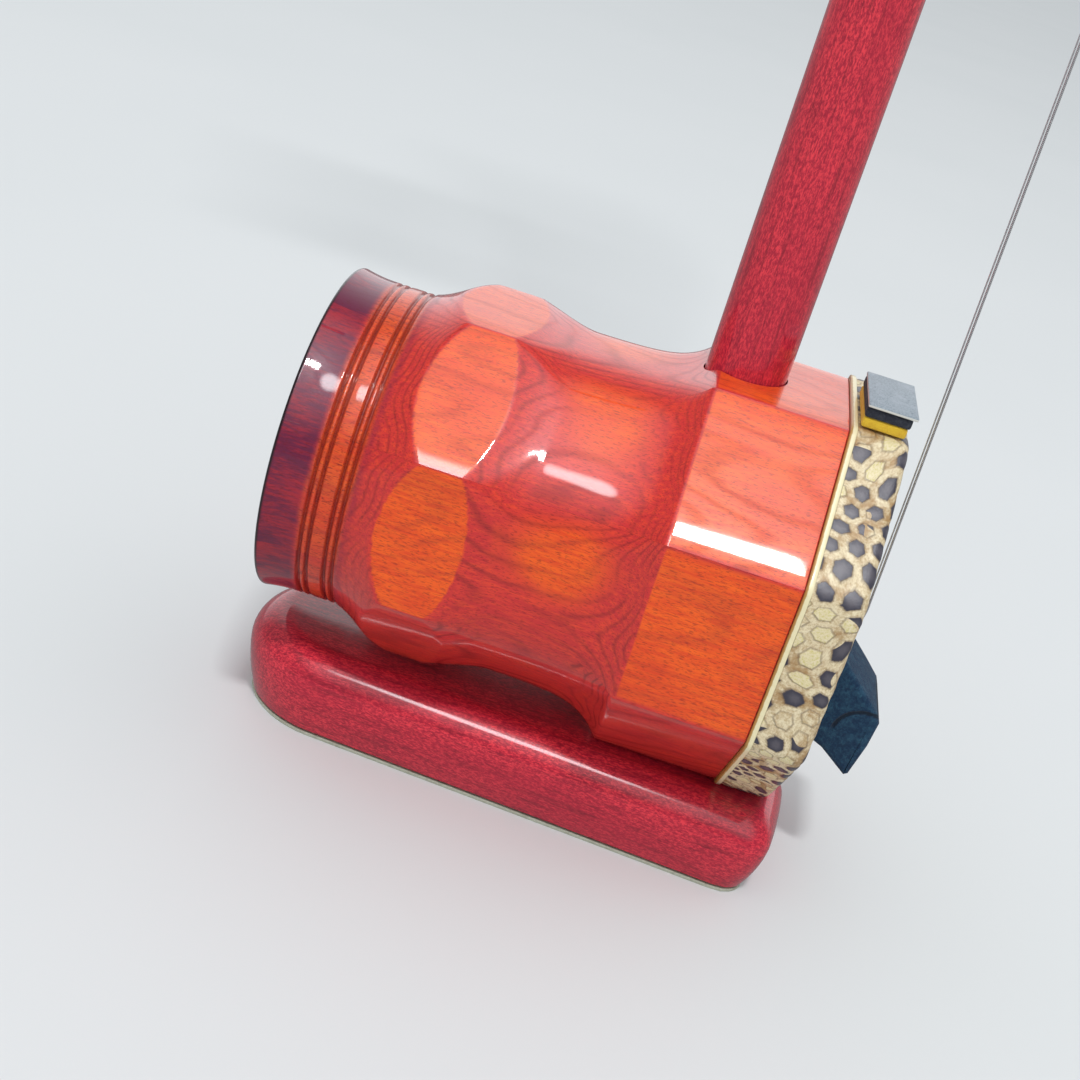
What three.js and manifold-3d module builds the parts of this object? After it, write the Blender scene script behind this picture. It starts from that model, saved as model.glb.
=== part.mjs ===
// Erhu: two-stringed fiddle with an octagonal, turned sound box standing on its base.
// Millimetres. +Z runs up the neck, the snakeskin faces -Y, the origin is under the neck
// on the flat bottom of the base.
import * as THREE from 'three';
import { mergeVertices } from 'three/addons/utils/BufferGeometryUtils.js';
import Module from 'manifold-3d';

const wasm = await Module();
wasm.setup();

// ---- driving dimensions ----
const seam = 0.3; // gap kept between pieces that touch
const padThickness = 0.8; // cork sheet under the base
const baseHeight = 20.3;
const baseRearWidth = 24; // half width where the round end begins
const baseFrontWidth = 31; // half width at the front corners
const baseShoulder = 8; // the upper edge is rounded over by this much
const baseTuck = 2.6; // and the side draws in towards the bottom

const sides = 8;
const boxFlat = 44.2; // axis to each flat of the octagonal front
const boxFront = -34.4; // wooden front edge under the skin
const boxRear = 88.1;
const coveStart = 6; // the straight facets end here
const coveReach = 5; // how fast the cove dies out
const waistFlat = 39;
const waistRadius = 40.3;
const waistEnd = 32;
const bulgeFlat = 40.5; // the oval flats on the bulge
const bulgeRadius = 44.6; // turned radius that those flats are cut into
const bulgeMiddle = 54;
const ringRadius = 36.7;
const ringStart = 72;
const rimStart = 80;
const rimRadius = 37.7;
const grooves = [70.8, 72.6, 76.6, 78.4];
const grooveWidth = 1.2;
const grooveDepth = 0.7;
const boreFront = 36.4;
const boreRear = 33.4;

const skinThickness = 1;
const skinProud = 0.7; // the skin stands this far off the wood
const skinWrap = 11.3; // how far the skin is turned over the side
const stripWidth = 1.2;
const stripProud = 0.9;

const windowThickness = 3;
const windowRecess = 3;

const neckRadius = 8.8;
const tenonRadius = 6;
const tenonDepth = 11.5; // tenon inside the base
const overallHeight = 810;
const headHeight = 93.7;
const headBack = 46; // how far the head sweeps back from the neck axis

const upperPegDrop = 124; // from the top of the head
const pegSpacing = 95;
const pegHandle = 112;
const pegHandleRadius = 11.5;
const pegThickRadius = 5.4;
const pegTipRadius = 3.9;
const windingWidth = 6;
const windingThickness = 1.1;

const stringSpacing = 4; // at the bridge
const innerStringRadius = 0.26;
const outerStringRadius = 0.18;
const bridgeHeight = 6.3;
const qianjinDrop = 130.1; // the loop sits this far below the lower peg
const qianjinReach = 31; // strings from the neck axis at the loop
const qianjinHeight = 6;
const threadThickness = 1;

const hookRadius = 1.5;
const screwRadius = 2;
const screwHeadRadius = 4.5;
const screwGrip = 12; // thread inside the tenon
const damperWidth = 22;

const guardWidth = 23;
const guardLeft = -18.5; // the side over the corner of the box
const guardLayers = [2, 2, 0.8]; // foam ribbon, felt and leather

// ---- sizes that follow ----
const axisZ = padThickness + seam + baseHeight + seam + boxFlat;
const cornerRadius = boxFlat / Math.cos(Math.PI / sides);
const neckTop = overallHeight - headHeight - seam;
const upperPegZ = overallHeight - upperPegDrop;
const lowerPegZ = upperPegZ - pegSpacing;
const qianjinZ = lowerPegZ - qianjinDrop;
const skinFlat = boxFlat + skinProud;
const skinFrontY = boxFront - seam - skinThickness;
const stripFlat = boxFlat + stripProud;
const stripFrontY = skinFrontY + skinWrap;
const stripRearY = stripFrontY + seam + stripWidth;
const rebateEnd = stripRearY + seam;
const rebateFlat = skinFlat - skinThickness - seam;
const baseTop = padThickness + seam + baseHeight;
const bridgeTopY = skinFrontY - seam - bridgeHeight;
const stringY = bridgeTopY - seam - innerStringRadius;

// ---- materials ----
function paint(color, roughness, metalness = 0) {
  return new THREE.MeshStandardMaterial({ color, roughness, metalness });
}
const lacquer = () => paint(0xc7402a, 0.22);
const darkLacquer = () => paint(0x9c2236, 0.25);
const bone = () => paint(0xf0e6cf, 0.4);
const steel = () => paint(0xb9bcc2, 0.3, 1);
const thread = (color) => paint(color, 0.8);

// ---- helpers ----
const group = new THREE.Group();
group.name = 'erhu';

function add(parent, name, geometry, material) {
  const mesh = new THREE.Mesh(geometry, material);
  mesh.name = name;
  parent.add(mesh);
  return mesh;
}

function toSolid(geometry) {
  const bare = geometry.index ? geometry.toNonIndexed() : geometry.clone();
  bare.deleteAttribute('normal');
  bare.deleteAttribute('uv');
  const merged = mergeVertices(bare, 1e-4);
  return new wasm.Manifold(new wasm.Mesh({
    numProp: 3,
    vertProperties: new Float32Array(merged.attributes.position.array),
    triVerts: new Uint32Array(merged.index.array),
  }));
}

function toGeometry(solid) {
  const mesh = solid.getMesh();
  const geometry = new THREE.BufferGeometry();
  geometry.setAttribute('position', new THREE.BufferAttribute(mesh.vertProperties, 3));
  geometry.setIndex(new THREE.BufferAttribute(mesh.triVerts, 1));
  return geometry;
}

function cut(geometry, ...tools) {
  let solid = toSolid(geometry);
  for (const tool of tools) solid = solid.subtract(toSolid(tool));
  return toGeometry(solid);
}

function block(x0, x1, y0, y1, z0, z1) {
  return new THREE.BoxGeometry(x1 - x0, y1 - y0, z1 - z0)
    .translate((x0 + x1) / 2, (y0 + y1) / 2, (z0 + z1) / 2);
}

function rodZ(radius, z0, z1, segments = 24) {
  return new THREE.CylinderGeometry(radius, radius, z1 - z0, segments)
    .rotateX(Math.PI / 2).translate(0, 0, (z0 + z1) / 2);
}

// A profile of [radius, height] points turned about the Y axis.
function turnedY(points, segments) {
  return new THREE.LatheGeometry(points.map(([r, y]) => new THREE.Vector2(r, y)), segments);
}

// An outline in X and Z, extruded from y0 towards +Y.
function slabY(outline, y0, y1, holes = []) {
  const shape = new THREE.Shape(outline);
  shape.holes = holes.map((points) => new THREE.Path(points));
  return new THREE.ExtrudeGeometry(shape, { depth: y1 - y0, bevelEnabled: false })
    .rotateX(Math.PI / 2).translate(0, y1, 0);
}

// An outline given as [y, z] pairs, extruded from x0 to x1.
function slabX(pairs, x0, x1, options = {}) {
  const shape = new THREE.Shape(pairs.map(([y, z]) => new THREE.Vector2(y, z)));
  return new THREE.ExtrudeGeometry(shape, { depth: x1 - x0, bevelEnabled: false, ...options })
    .rotateX(Math.PI / 2).rotateZ(Math.PI / 2).translate(x0, 0, 0);
}

function octagon(flat) {
  const corner = flat / Math.cos(Math.PI / sides);
  return Array.from({ length: sides }, (_, i) => {
    const angle = ((2 * i + 1) * Math.PI) / sides;
    return new THREE.Vector2(corner * Math.cos(angle), corner * Math.sin(angle));
  });
}

function circle(radius, count) {
  return Array.from({ length: count }, (_, i) => {
    const angle = (2 * Math.PI * i) / count;
    return new THREE.Vector2(radius * Math.cos(angle), radius * Math.sin(angle));
  });
}

// A convex body through rings of equally many points: a round prism with its points moved.
function loft(rings) {
  const count = rings[0].length;
  const geometry = new THREE.ExtrudeGeometry(new THREE.Shape(circle(1, count)), {
    depth: rings.length - 1, steps: rings.length - 1, bevelEnabled: false,
  });
  const position = geometry.attributes.position;
  for (let i = 0; i < position.count; i += 1) {
    const turn = Math.atan2(position.getY(i), position.getX(i)) / (2 * Math.PI);
    const { x, y, z } = rings[Math.round(position.getZ(i))][Math.round((turn + 1) * count) % count];
    position.setXYZ(i, x, y, z);
  }
  return geometry;
}

// ---- sound box ----
const ease = (t) => {
  const s = Math.min(1, Math.max(0, t));
  return s * s * (3 - 2 * s);
};
const mix = (a, b, t) => a + (b - a) * t;

function flatAt(y) {
  if (y < rebateEnd) return rebateFlat;
  if (y < coveStart) return boxFlat;
  const cove = Math.exp((coveStart - y) / coveReach);
  const rise = (Math.max(0, y - waistEnd + 1) / 12) ** 2 * (bulgeFlat - waistFlat);
  const facet = mix(waistFlat, boxFlat, cove);
  return Math.min(facet + rise, Math.max(bulgeFlat, facet));
}

function turnedAt(y) {
  if (y < coveStart) return cornerRadius;
  if (y < bulgeMiddle) {
    const cove = Math.exp((coveStart - y) / coveReach);
    const swell = ease((y - waistEnd) / (bulgeMiddle - waistEnd));
    return mix(waistRadius, cornerRadius, cove) + swell * (bulgeRadius - waistRadius);
  }
  let radius = mix(bulgeRadius, ringRadius, ease((y - bulgeMiddle) / (ringStart - bulgeMiddle)));
  if (y > rimStart) radius += (rimRadius - ringRadius) * ((y - rimStart) / (boxRear - rimStart)) ** 2;
  for (const groove of grooves) {
    const off = Math.abs(y - groove) / (grooveWidth / 2);
    if (off < 1) radius -= grooveDepth * (1 - off);
  }
  return radius;
}

// Radius of the wood at an angle from the middle of its facet: the flat and the turned
// radius meet in a softened corner.
function woodRadius(angle, y) {
  const flat = flatAt(y) / Math.cos(angle);
  const softness = 60;
  return (flat ** -softness + turnedAt(y) ** -softness) ** (-1 / softness);
}

function boreAt(y) {
  return mix(boreFront, boreRear, ease(y / 20));
}

function stations() {
  const list = [boxFront, rebateEnd - 0.1, rebateEnd, coveStart];
  list.push(8, 10.5, 14, 19, 26, 33, 37, 40, 43, 45.5, 48, 51, 54, 57, 60, 62.5, 65, 67.5);
  for (const groove of grooves) list.push(groove - grooveWidth / 2, groove, groove + grooveWidth / 2);
  list.push(rimStart, 83, 86, boxRear - 0.6, boxRear);
  return list.sort((a, b) => b - a);
}

function staveGeometry(centre) {
  const half = Math.PI / sides;
  const steps = 6;
  const points = [];
  for (let i = 0; i <= steps; i += 1) points.push([1, mix(-half, half, i / steps)]);
  for (let i = 2; i >= 0; i -= 1) points.push([0.5, mix(-half, half, i / 2)]);
  const sector = points.map(([r, a]) => new THREE.Vector2(r * Math.cos(a), r * Math.sin(a)));
  const shape = new THREE.Shape(sector);
  const list = stations();
  const geometry = new THREE.ExtrudeGeometry(shape, {
    depth: list.length - 1, steps: list.length - 1, bevelEnabled: false,
  });
  const position = geometry.attributes.position;
  for (let i = 0; i < position.count; i += 1) {
    const y = list[Math.round(position.getZ(i))];
    const angle = Math.atan2(position.getY(i), position.getX(i));
    const outer = Math.hypot(position.getX(i), position.getY(i)) > 0.75;
    let radius = outer ? woodRadius(angle, y) : boreAt(y);
    if (outer && y > boxRear - 0.3) radius -= 0.5;
    // the two glued faces lie half a seam inside the exact eighth
    const side = Math.abs(angle) > half - 1e-6 ? Math.sign(angle) : 0;
    const inset = (-side * seam) / 2 / Math.cos(half);
    const turned = angle + centre;
    const u = radius * Math.cos(turned) + inset * Math.cos(centre + Math.PI / 2);
    const v = radius * Math.sin(turned) + inset * Math.sin(centre + Math.PI / 2);
    position.setXYZ(i, u, v, -y);
  }
  return geometry.rotateX(Math.PI / 2);
}

function addSoundBox(parent) {
  const names = ['right', 'upper_right', 'top', 'upper_left',
    'left', 'lower_left', 'bottom', 'lower_right'];
  names.forEach((name, i) => {
    let geometry = staveGeometry((i * 2 * Math.PI) / sides);
    if (name === 'top') geometry = cut(geometry, rodZ(neckRadius + seam, boreRear - 8, boxFlat + 5));
    if (name === 'bottom') geometry = cut(geometry, rodZ(tenonRadius + seam, -boxFlat - 5, -boreRear + 8));
    add(parent, `stave_${name}`, geometry, lacquer());
  });
  const skinBody = slabY(octagon(skinFlat), skinFrontY, stripFrontY);
  const skinHollow = slabY(octagon(skinFlat - skinThickness), skinFrontY + skinThickness, stripFrontY + 1);
  add(parent, 'snakeskin', cut(skinBody, skinHollow), paint(0xd9c79a, 0.55));
  const strip = slabY(octagon(stripFlat), stripFrontY + seam, stripRearY, [octagon(rebateFlat + seam)]);
  add(parent, 'edge_strip', strip, paint(0xefe0ad, 0.4));
}

function addSoundWindow(parent) {
  const outer = boreRear - seam / Math.cos(Math.PI / (2 * sides));
  const bars = 8;
  const bar = 2.4;
  const rings = [[7.5, 16], [18.5, outer - 3]];
  const holes = [];
  for (const [r0, r1] of rings) {
    for (let i = 0; i < bars; i += 1) {
      const middle = (2 * Math.PI * (i + 0.5)) / bars;
      const arc = (radius, from, to) => Array.from({ length: 4 }, (_, k) => {
        const reach = Math.PI / bars - bar / 2 / radius;
        const angle = middle + mix(from, to, k / 3) * reach;
        return new THREE.Vector2(radius * Math.cos(angle), radius * Math.sin(angle));
      });
      holes.push([...arc(r1, -1, 1), ...arc(r0, 1, -1)]);
    }
  }
  const rear = boxRear - windowRecess;
  const plate = slabY(circle(outer, 2 * sides), rear - windowThickness, rear, holes);
  add(parent, 'sound_window', plate, paint(0x6d2018, 0.35));
}

// ---- neck and head ----
function addNeck(parent) {
  const shoulder = axisZ - boreRear + 0.5;
  const foot = baseTop - tenonDepth;
  const profile = [[0, foot], [tenonRadius, foot], [tenonRadius, shoulder], [neckRadius, shoulder],
    [neckRadius, neckTop], [0, neckTop]];
  const pole = turnedY(profile, 32).rotateX(Math.PI / 2);
  const screwHole = rodZ(screwRadius + seam, foot - 1, foot + screwGrip + seam, 16);
  const holes = [upperPegZ, lowerPegZ].map((z) => pegBore().translate(0, 0, z));
  add(parent, 'neck', cut(pole, screwHole, ...holes), darkLacquer());
}

function addHead(parent) {
  const foot = overallHeight - headHeight;
  const rise = headHeight;
  const front = new THREE.CubicBezierCurve(
    new THREE.Vector2(-neckRadius, foot), new THREE.Vector2(-neckRadius - 1, foot + rise * 0.55),
    new THREE.Vector2(4, overallHeight - 1), new THREE.Vector2(headBack - 14, overallHeight));
  const back = new THREE.CubicBezierCurve(
    new THREE.Vector2(headBack, overallHeight - 17), new THREE.Vector2(headBack - 20, overallHeight - 22),
    new THREE.Vector2(neckRadius + 1, foot + rise * 0.5), new THREE.Vector2(neckRadius, foot));
  const outline = [...front.getPoints(12), ...back.getPoints(12)].map((p) => [p.x, p.y]);
  const bevel = 2.5;
  const inset = {
    bevelEnabled: true, bevelThickness: bevel, bevelSize: bevel, bevelOffset: -bevel, bevelSegments: 2,
  };
  const body = slabX(outline, -neckRadius + bevel, neckRadius - bevel, inset);
  add(parent, 'head', body, darkLacquer());

  const plate = slabX([[-8, seam], [8, seam], [8, 2.3], [-8, 2.3]], -5.5, 5.5);
  const cap = add(parent, 'head_cap', plate, bone());
  cap.rotation.x = -Math.atan2(17, 14);
  cap.position.set(0, headBack - 7, overallHeight - 8.5);
}

// ---- pegs ----
const pegFrontY = -neckRadius - 14.5;
const pegBackY = neckRadius + 2.5;

function pegRadiusAt(y) {
  return mix(pegTipRadius, pegThickRadius, (y - pegFrontY) / (pegBackY - pegFrontY));
}

function pegBore() {
  const reach = neckRadius + 2;
  return turnedY([[0, -reach], [pegRadiusAt(-reach) + seam, -reach], [pegRadiusAt(reach) + seam, reach],
    [0, reach]], 20);
}

function addPeg(parent, name, z, tipY, windingY, stringColor) {
  const end = pegBackY + pegHandle;
  const wide = pegHandleRadius;
  const profile = [[0, tipY], [pegRadiusAt(tipY), tipY], [pegRadiusAt(pegBackY), pegBackY],
    [pegThickRadius + 2.6, pegBackY + 1.5], [pegThickRadius + 2.6, pegBackY + 5],
    [pegThickRadius + 1.2, pegBackY + 7], [wide * 0.72, pegBackY + pegHandle * 0.3],
    [wide * 0.95, pegBackY + pegHandle * 0.62],
    [wide, pegBackY + pegHandle * 0.85], [wide * 0.86, end - 3], [wide * 0.66, end], [0, end]];
  const peg = new THREE.Group();
  peg.position.z = z;
  parent.add(peg);
  add(peg, `${name}_peg`, turnedY(profile, 20), darkLacquer());
  const cap = [[0, end + seam], [wide * 0.62, end + seam], [wide * 0.58, end + 2.4], [wide * 0.3, end + 4],
    [0, end + 4.4]];
  add(peg, `${name}_peg_cap`, turnedY(cap, 20), bone());
  const inner = pegRadiusAt(windingY + windingWidth) + seam;
  const outer = inner + windingThickness;
  const coil = [[inner, windingY], [outer, windingY + 0.4], [outer, windingY + windingWidth - 0.4],
    [inner, windingY + windingWidth], [inner, windingY]];
  add(peg, `${name}_winding`, turnedY(coil, 24), thread(stringColor));
  return outer;
}

// ---- base ----
const hookY = skinFrontY + 2.4;
const hookZ = baseTop - 8.6;
const baseFrontY = skinFrontY - 5.5;
const baseRearY = boxRear + 3.4;

// Plan of the base, drawn in all round: straight sides, a round rear end and a bowed front.
function baseOutline(inset, z) {
  const rear = baseRearWidth - inset;
  const front = baseFrontWidth - inset;
  const turn = baseRearY - baseRearWidth;
  const nose = baseFrontY + inset;
  const corner = 5.5;
  const points = [];
  for (let i = 0; i <= 12; i += 1) {
    const angle = (i * Math.PI) / 12;
    points.push([rear * Math.cos(angle), turn + rear * Math.sin(angle)]);
  }
  for (const side of [-1, 1]) {
    const row = [];
    for (let i = 0; i <= 4; i += 1) {
      const angle = (i * Math.PI) / 8;
      row.push([side * (front - corner + corner * Math.cos(angle)),
        nose + 3 + corner - corner * Math.sin(angle)]);
    }
    row.push([side * front * 0.45, nose + 0.8]);
    points.push(...(side < 0 ? row : [[0, nose], ...row.reverse()]));
  }
  return points.map(([x, y]) => new THREE.Vector3(x, y, z));
}

// How far the base's side stands in from its widest outline at a share of its height.
function baseInset(share) {
  const shoulder = 0.4; // share of the height that is rounded over
  if (share < 1 - shoulder) return baseTuck * (1 - share / (1 - shoulder)) ** 1.6;
  const up = (share - 1 + shoulder) / shoulder;
  return baseShoulder * (1 - Math.sqrt(1 - up * up));
}

function addBase(parent) {
  const bottom = padThickness + seam;
  const shares = [0, 0.1, 0.3, 0.6, 0.72, 0.82, 0.9, 0.96, 0.99, 1];
  const body = loft(shares.map((share) => baseOutline(baseInset(share), bottom + share * baseHeight)));
  const skinStep = block(-60, 60, -80, rebateEnd + seam, axisZ - stripFlat - seam, baseTop + 10);
  const slot = block(-stringSpacing - 0.4, stringSpacing + 0.4, -80, hookY + 5, hookZ - 5.5, baseTop + 10);
  const hookHole = new THREE.CylinderGeometry(hookRadius + seam, hookRadius + seam, 17, 16)
    .rotateZ(Math.PI / 2).translate(0, hookY, hookZ);
  const socket = rodZ(tenonRadius + seam, baseTop - tenonDepth - seam, baseTop + 10);
  const screwHole = rodZ(screwRadius + seam, bottom - 5, baseTop, 16);
  const counterbore = rodZ(screwHeadRadius + seam, bottom - 5, bottom + 3 + seam, 20);
  const shaped = cut(body, skinStep, slot, hookHole, socket, screwHole, counterbore);
  add(parent, 'base', shaped, darkLacquer());

  const sole = loft([0, padThickness].map((z) => baseOutline(baseTuck, z)));
  add(parent, 'base_pad', sole, paint(0xb9bfa6, 0.9));

  const foot = baseTop - tenonDepth;
  const screw = turnedY([[0, bottom + seam], [screwHeadRadius, bottom + seam],
    [screwHeadRadius, bottom + 2.2], [screwRadius, bottom + 3], [screwRadius, foot + screwGrip - 2],
    [0, foot + screwGrip]], 16).rotateX(Math.PI / 2);
  add(parent, 'base_screw', screw, paint(0xb08a3c, 0.35, 1));

  const hook = new THREE.CylinderGeometry(hookRadius, hookRadius, 16, 16).rotateZ(Math.PI / 2);
  add(parent, 'string_hook', hook, paint(0xb08a3c, 0.3, 1)).position.set(0, hookY, hookZ);
}

// ---- strings ----
const edgeZ = axisZ - skinFlat + 0.5;
const edgeY = skinFrontY - seam - innerStringRadius;

// Distance of the strings from the neck axis between the bridge and the lower edge.
function stringAt(z) {
  return mix(stringY, edgeY, (axisZ - z) / (axisZ - edgeZ));
}

// From the peg over the loop and the bridge to the lower edge of the skin, then round the hook.
function stringRoute(side, radius, pegZ, windingY, windingOuter) {
  const x = (side * stringSpacing) / 2;
  const near = side * 1.6;
  const around = hookRadius + seam + radius;
  const points = [
    [side * (windingOuter + seam + radius), windingY + windingWidth / 2, pegZ],
    [near, -qianjinReach, qianjinZ],
    [x, stringY, axisZ],
    [x, edgeY, edgeZ],
    [near, hookY - around, hookZ + 1],
  ];
  for (let i = 1; i <= 4; i += 1) {
    const turn = Math.PI + (i * Math.PI) / 4;
    points.push([near, hookY + around * Math.cos(turn), hookZ + around * Math.sin(turn)]);
  }
  return points.map((p) => new THREE.Vector3(...p));
}

// A round cord swept through its points, with one eight-sided ring at each.
function cordGeometry(points, radius) {
  const rings = points.map((point, i) => {
    const before = points[Math.max(0, i - 1)];
    const after = points[Math.min(points.length - 1, i + 1)];
    return { point, tangent: after.clone().sub(before).normalize() };
  });
  const across = new THREE.Vector3(1, 0, 0);
  return loft(rings.map(({ point, tangent }) => {
    const side = across.clone().addScaledVector(tangent, -across.dot(tangent)).normalize();
    const up = tangent.clone().cross(side);
    return circle(radius, 8)
      .map(({ x, y }) => point.clone().addScaledVector(side, x).addScaledVector(up, y));
  }));
}

function addStrings(parent) {
  const upperY = -neckRadius - 12.2;
  const lowerY = -neckRadius - 7.7;
  const upper = addPeg(parent, 'upper', upperPegZ, upperY - 2.5, upperY, 0xb9bcc2);
  const lower = addPeg(parent, 'lower', lowerPegZ, lowerY - 3, lowerY, 0xb9bcc2);
  const inner = stringRoute(-1, innerStringRadius, upperPegZ, upperY, upper);
  const outer = stringRoute(1, outerStringRadius, lowerPegZ, lowerY, lower);
  add(parent, 'inner_string', cordGeometry(inner, innerStringRadius), steel());
  add(parent, 'outer_string', cordGeometry(outer, outerStringRadius), steel());
}

// Outline round two circles, one on the neck axis and a smaller one in front of it.
function loopOutline(backRadius, frontRadius) {
  const lean = Math.asin((backRadius - frontRadius) / qianjinReach);
  const arc = (radius, y, from, to, count) => Array.from({ length: count + 1 }, (_, i) => {
    const angle = mix(from, to, i / count);
    return new THREE.Vector2(radius * Math.cos(angle), y + radius * Math.sin(angle));
  });
  return [...arc(backRadius, 0, -lean, Math.PI + lean, 16),
    ...arc(frontRadius, -qianjinReach, Math.PI + lean, 2 * Math.PI - lean, 8)];
}

function addQianjin(parent) {
  const onNeck = neckRadius + seam;
  const onStrings = 2.7;
  const shape = new THREE.Shape(loopOutline(onNeck + threadThickness, onStrings + threadThickness));
  shape.holes.push(new THREE.Path(loopOutline(onNeck, onStrings)));
  const loop = new THREE.ExtrudeGeometry(shape, { depth: qianjinHeight, bevelEnabled: false });
  const mesh = add(parent, 'qianjin', loop, thread(0x8e1f24));
  mesh.position.z = qianjinZ - qianjinHeight / 2;
}

// Everything in front of a plane close behind the strings, from the bridge down to a height.
function behindStrings(z, halfWidth) {
  const clear = innerStringRadius + seam;
  return slabX([[stringAt(axisZ) + clear, axisZ], [stringAt(z) + clear, z], [-2 * overallHeight, z],
    [-2 * overallHeight, axisZ]], -halfWidth, halfWidth);
}

function addBridge(parent) {
  const half = [[0, 13], [1.8, 12.4], [bridgeHeight * 0.6, 8], [bridgeHeight, 4.4]];
  const arch = [[0, -8.5], [1.6, -6.5], [2.8, -3], [2.8, 3], [1.6, 6.5], [0, 8.5]];
  const outline = [...half.map(([h, x]) => [h, -x]), ...half.reverse(), ...arch.reverse()];
  const shape = new THREE.Shape(outline.map(([h, x]) => new THREE.Vector2(x, skinFrontY - seam - h)));
  const bridge = new THREE.ExtrudeGeometry(shape, { depth: 7, bevelEnabled: false })
    .translate(0, 0, axisZ - 4.5);
  add(parent, 'bridge', cut(bridge, behindStrings(axisZ - 10, 20)), paint(0x4a2a1c, 0.5));
}

// A folded felt pad under the bridge: pinched flat behind the strings, full beside them.
function addDamper(parent) {
  const back = skinFrontY - seam;
  const at = (y, z) => [back - y, axisZ + z];
  const side = [at(0, -5.8), at(6.2, -5.2), at(7.9, -3), at(16.8, -14.6), at(17.7, -17.5), at(16.8, -34.4),
    at(15.4, -35.6), at(7, -31), at(0, -29)];
  const pad = slabX(side, -damperWidth / 2, damperWidth / 2);
  const pinch = behindStrings(axisZ - 44, stringSpacing / 2 + innerStringRadius + 2 * seam);
  add(parent, 'damper', cut(pad, pinch), paint(0x16233c, 0.95));
}

// Three layers on the top flat keep the bow off the skin's edge.
function addBowGuard(parent) {
  const front = skinFrontY - seam;
  const layers = [['guard_ribbon', 0xf0c330, 0.6], ['guard_felt', 0x20283a, 0.95],
    ['guard_leather', 0x6e7f92, 0.45]];
  let z = axisZ + skinFlat + seam;
  layers.forEach(([name, color, roughness], i) => {
    const right = guardLeft + guardWidth;
    const layer = block(guardLeft, right, front, stripFrontY - 0.2, z, z + guardLayers[i]);
    add(parent, name, layer, paint(color, roughness));
    z += guardLayers[i] + seam;
  });
}

// ---- the whole instrument ----
const soundBox = new THREE.Group();
soundBox.position.z = axisZ;
group.add(soundBox);
addSoundBox(soundBox);
addSoundWindow(soundBox);
addBase(group);
addNeck(group);
addHead(group);
addStrings(group);
addQianjin(group);
addBridge(group);
addDamper(group);
addBowGuard(group);

export default group;
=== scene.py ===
import math

import bmesh
import bpy
from mathutils import Matrix, Vector, noise


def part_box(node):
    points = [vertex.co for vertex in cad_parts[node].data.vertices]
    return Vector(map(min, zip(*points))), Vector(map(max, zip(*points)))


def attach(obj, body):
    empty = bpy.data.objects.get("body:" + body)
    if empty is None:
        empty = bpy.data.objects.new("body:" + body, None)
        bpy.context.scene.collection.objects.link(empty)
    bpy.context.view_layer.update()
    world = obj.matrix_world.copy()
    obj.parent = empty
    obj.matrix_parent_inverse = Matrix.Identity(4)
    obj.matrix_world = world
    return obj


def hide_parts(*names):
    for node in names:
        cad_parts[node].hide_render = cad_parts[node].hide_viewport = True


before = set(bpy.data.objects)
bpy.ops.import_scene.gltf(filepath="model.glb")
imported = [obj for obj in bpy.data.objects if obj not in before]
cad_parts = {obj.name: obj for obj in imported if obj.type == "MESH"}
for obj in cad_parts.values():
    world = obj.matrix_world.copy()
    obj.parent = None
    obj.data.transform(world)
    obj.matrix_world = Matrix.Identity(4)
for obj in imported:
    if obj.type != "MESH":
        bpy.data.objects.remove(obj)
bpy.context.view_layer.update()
mm = 0.001  # pieces are shaped in millimetres and scaled once


# Where the CAD puts things
def span(node, axis):
    low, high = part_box(node)
    return low[axis] / mm, high[axis] / mm


boxAxis = sum(span("edge_strip", 2)) / 2  # height of the sound box's axis
skinFront, skinRear = span("snakeskin", 1)
stripRear = span("edge_strip", 1)[1]
woodFront, woodRear = span("stave_left", 1)
skinFlat = span("snakeskin", 0)[1]
stripFlat = span("edge_strip", 0)[1]
neckFoot, neckTop = span("neck", 2)
neckRadius = span("neck", 0)[1]
bridgeTop = span("bridge", 1)[0]
eighth = math.pi / 8


view = {
    "place": (-332.8, 15.8, 209.6),
    "turn": (64.32, -15.51, -79.94),  # tilt, roll and heading in degrees
    "lens": 53.42,
}
cameraData = bpy.data.cameras.new("camera")
cameraData.lens = view["lens"]
cameraData.sensor_width = 36
cameraData.clip_start = 0.01
camera = bpy.data.objects.new("camera", cameraData)
camera.location = Vector(view["place"]) * mm
camera.rotation_euler = [math.radians(angle) for angle in view["turn"]]
bpy.context.scene.collection.objects.link(camera)
bpy.context.scene.camera = camera
bpy.context.scene.view_settings.view_transform = "Standard"
print("camera placed")


# Shader maths
class Wire:
    def __init__(self, finish, socket):
        self.finish = finish
        self.socket = socket

    def math(self, operation, *others):
        return self.finish.node("Math", {"operation": operation}, dict(enumerate((self, *others))))

    def __add__(self, other):
        return self.math("ADD", other)

    def __mul__(self, other):
        return self.math("MULTIPLY", other)

    def __sub__(self, other):
        return self.math("SUBTRACT", other)

    def __truediv__(self, other):
        return self.math("DIVIDE", other)

    def __rsub__(self, other):
        return self.math("MULTIPLY_ADD", -1.0, other)

    __radd__ = __add__
    __rmul__ = __mul__

    def power(self, other):
        return self.math("POWER", other)

    def fade(self, start, end):
        limits = {"Value": self, "From Min": start, "From Max": end}
        return self.finish.node("MapRange", {"interpolation_type": "SMOOTHSTEP"}, limits)


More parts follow.
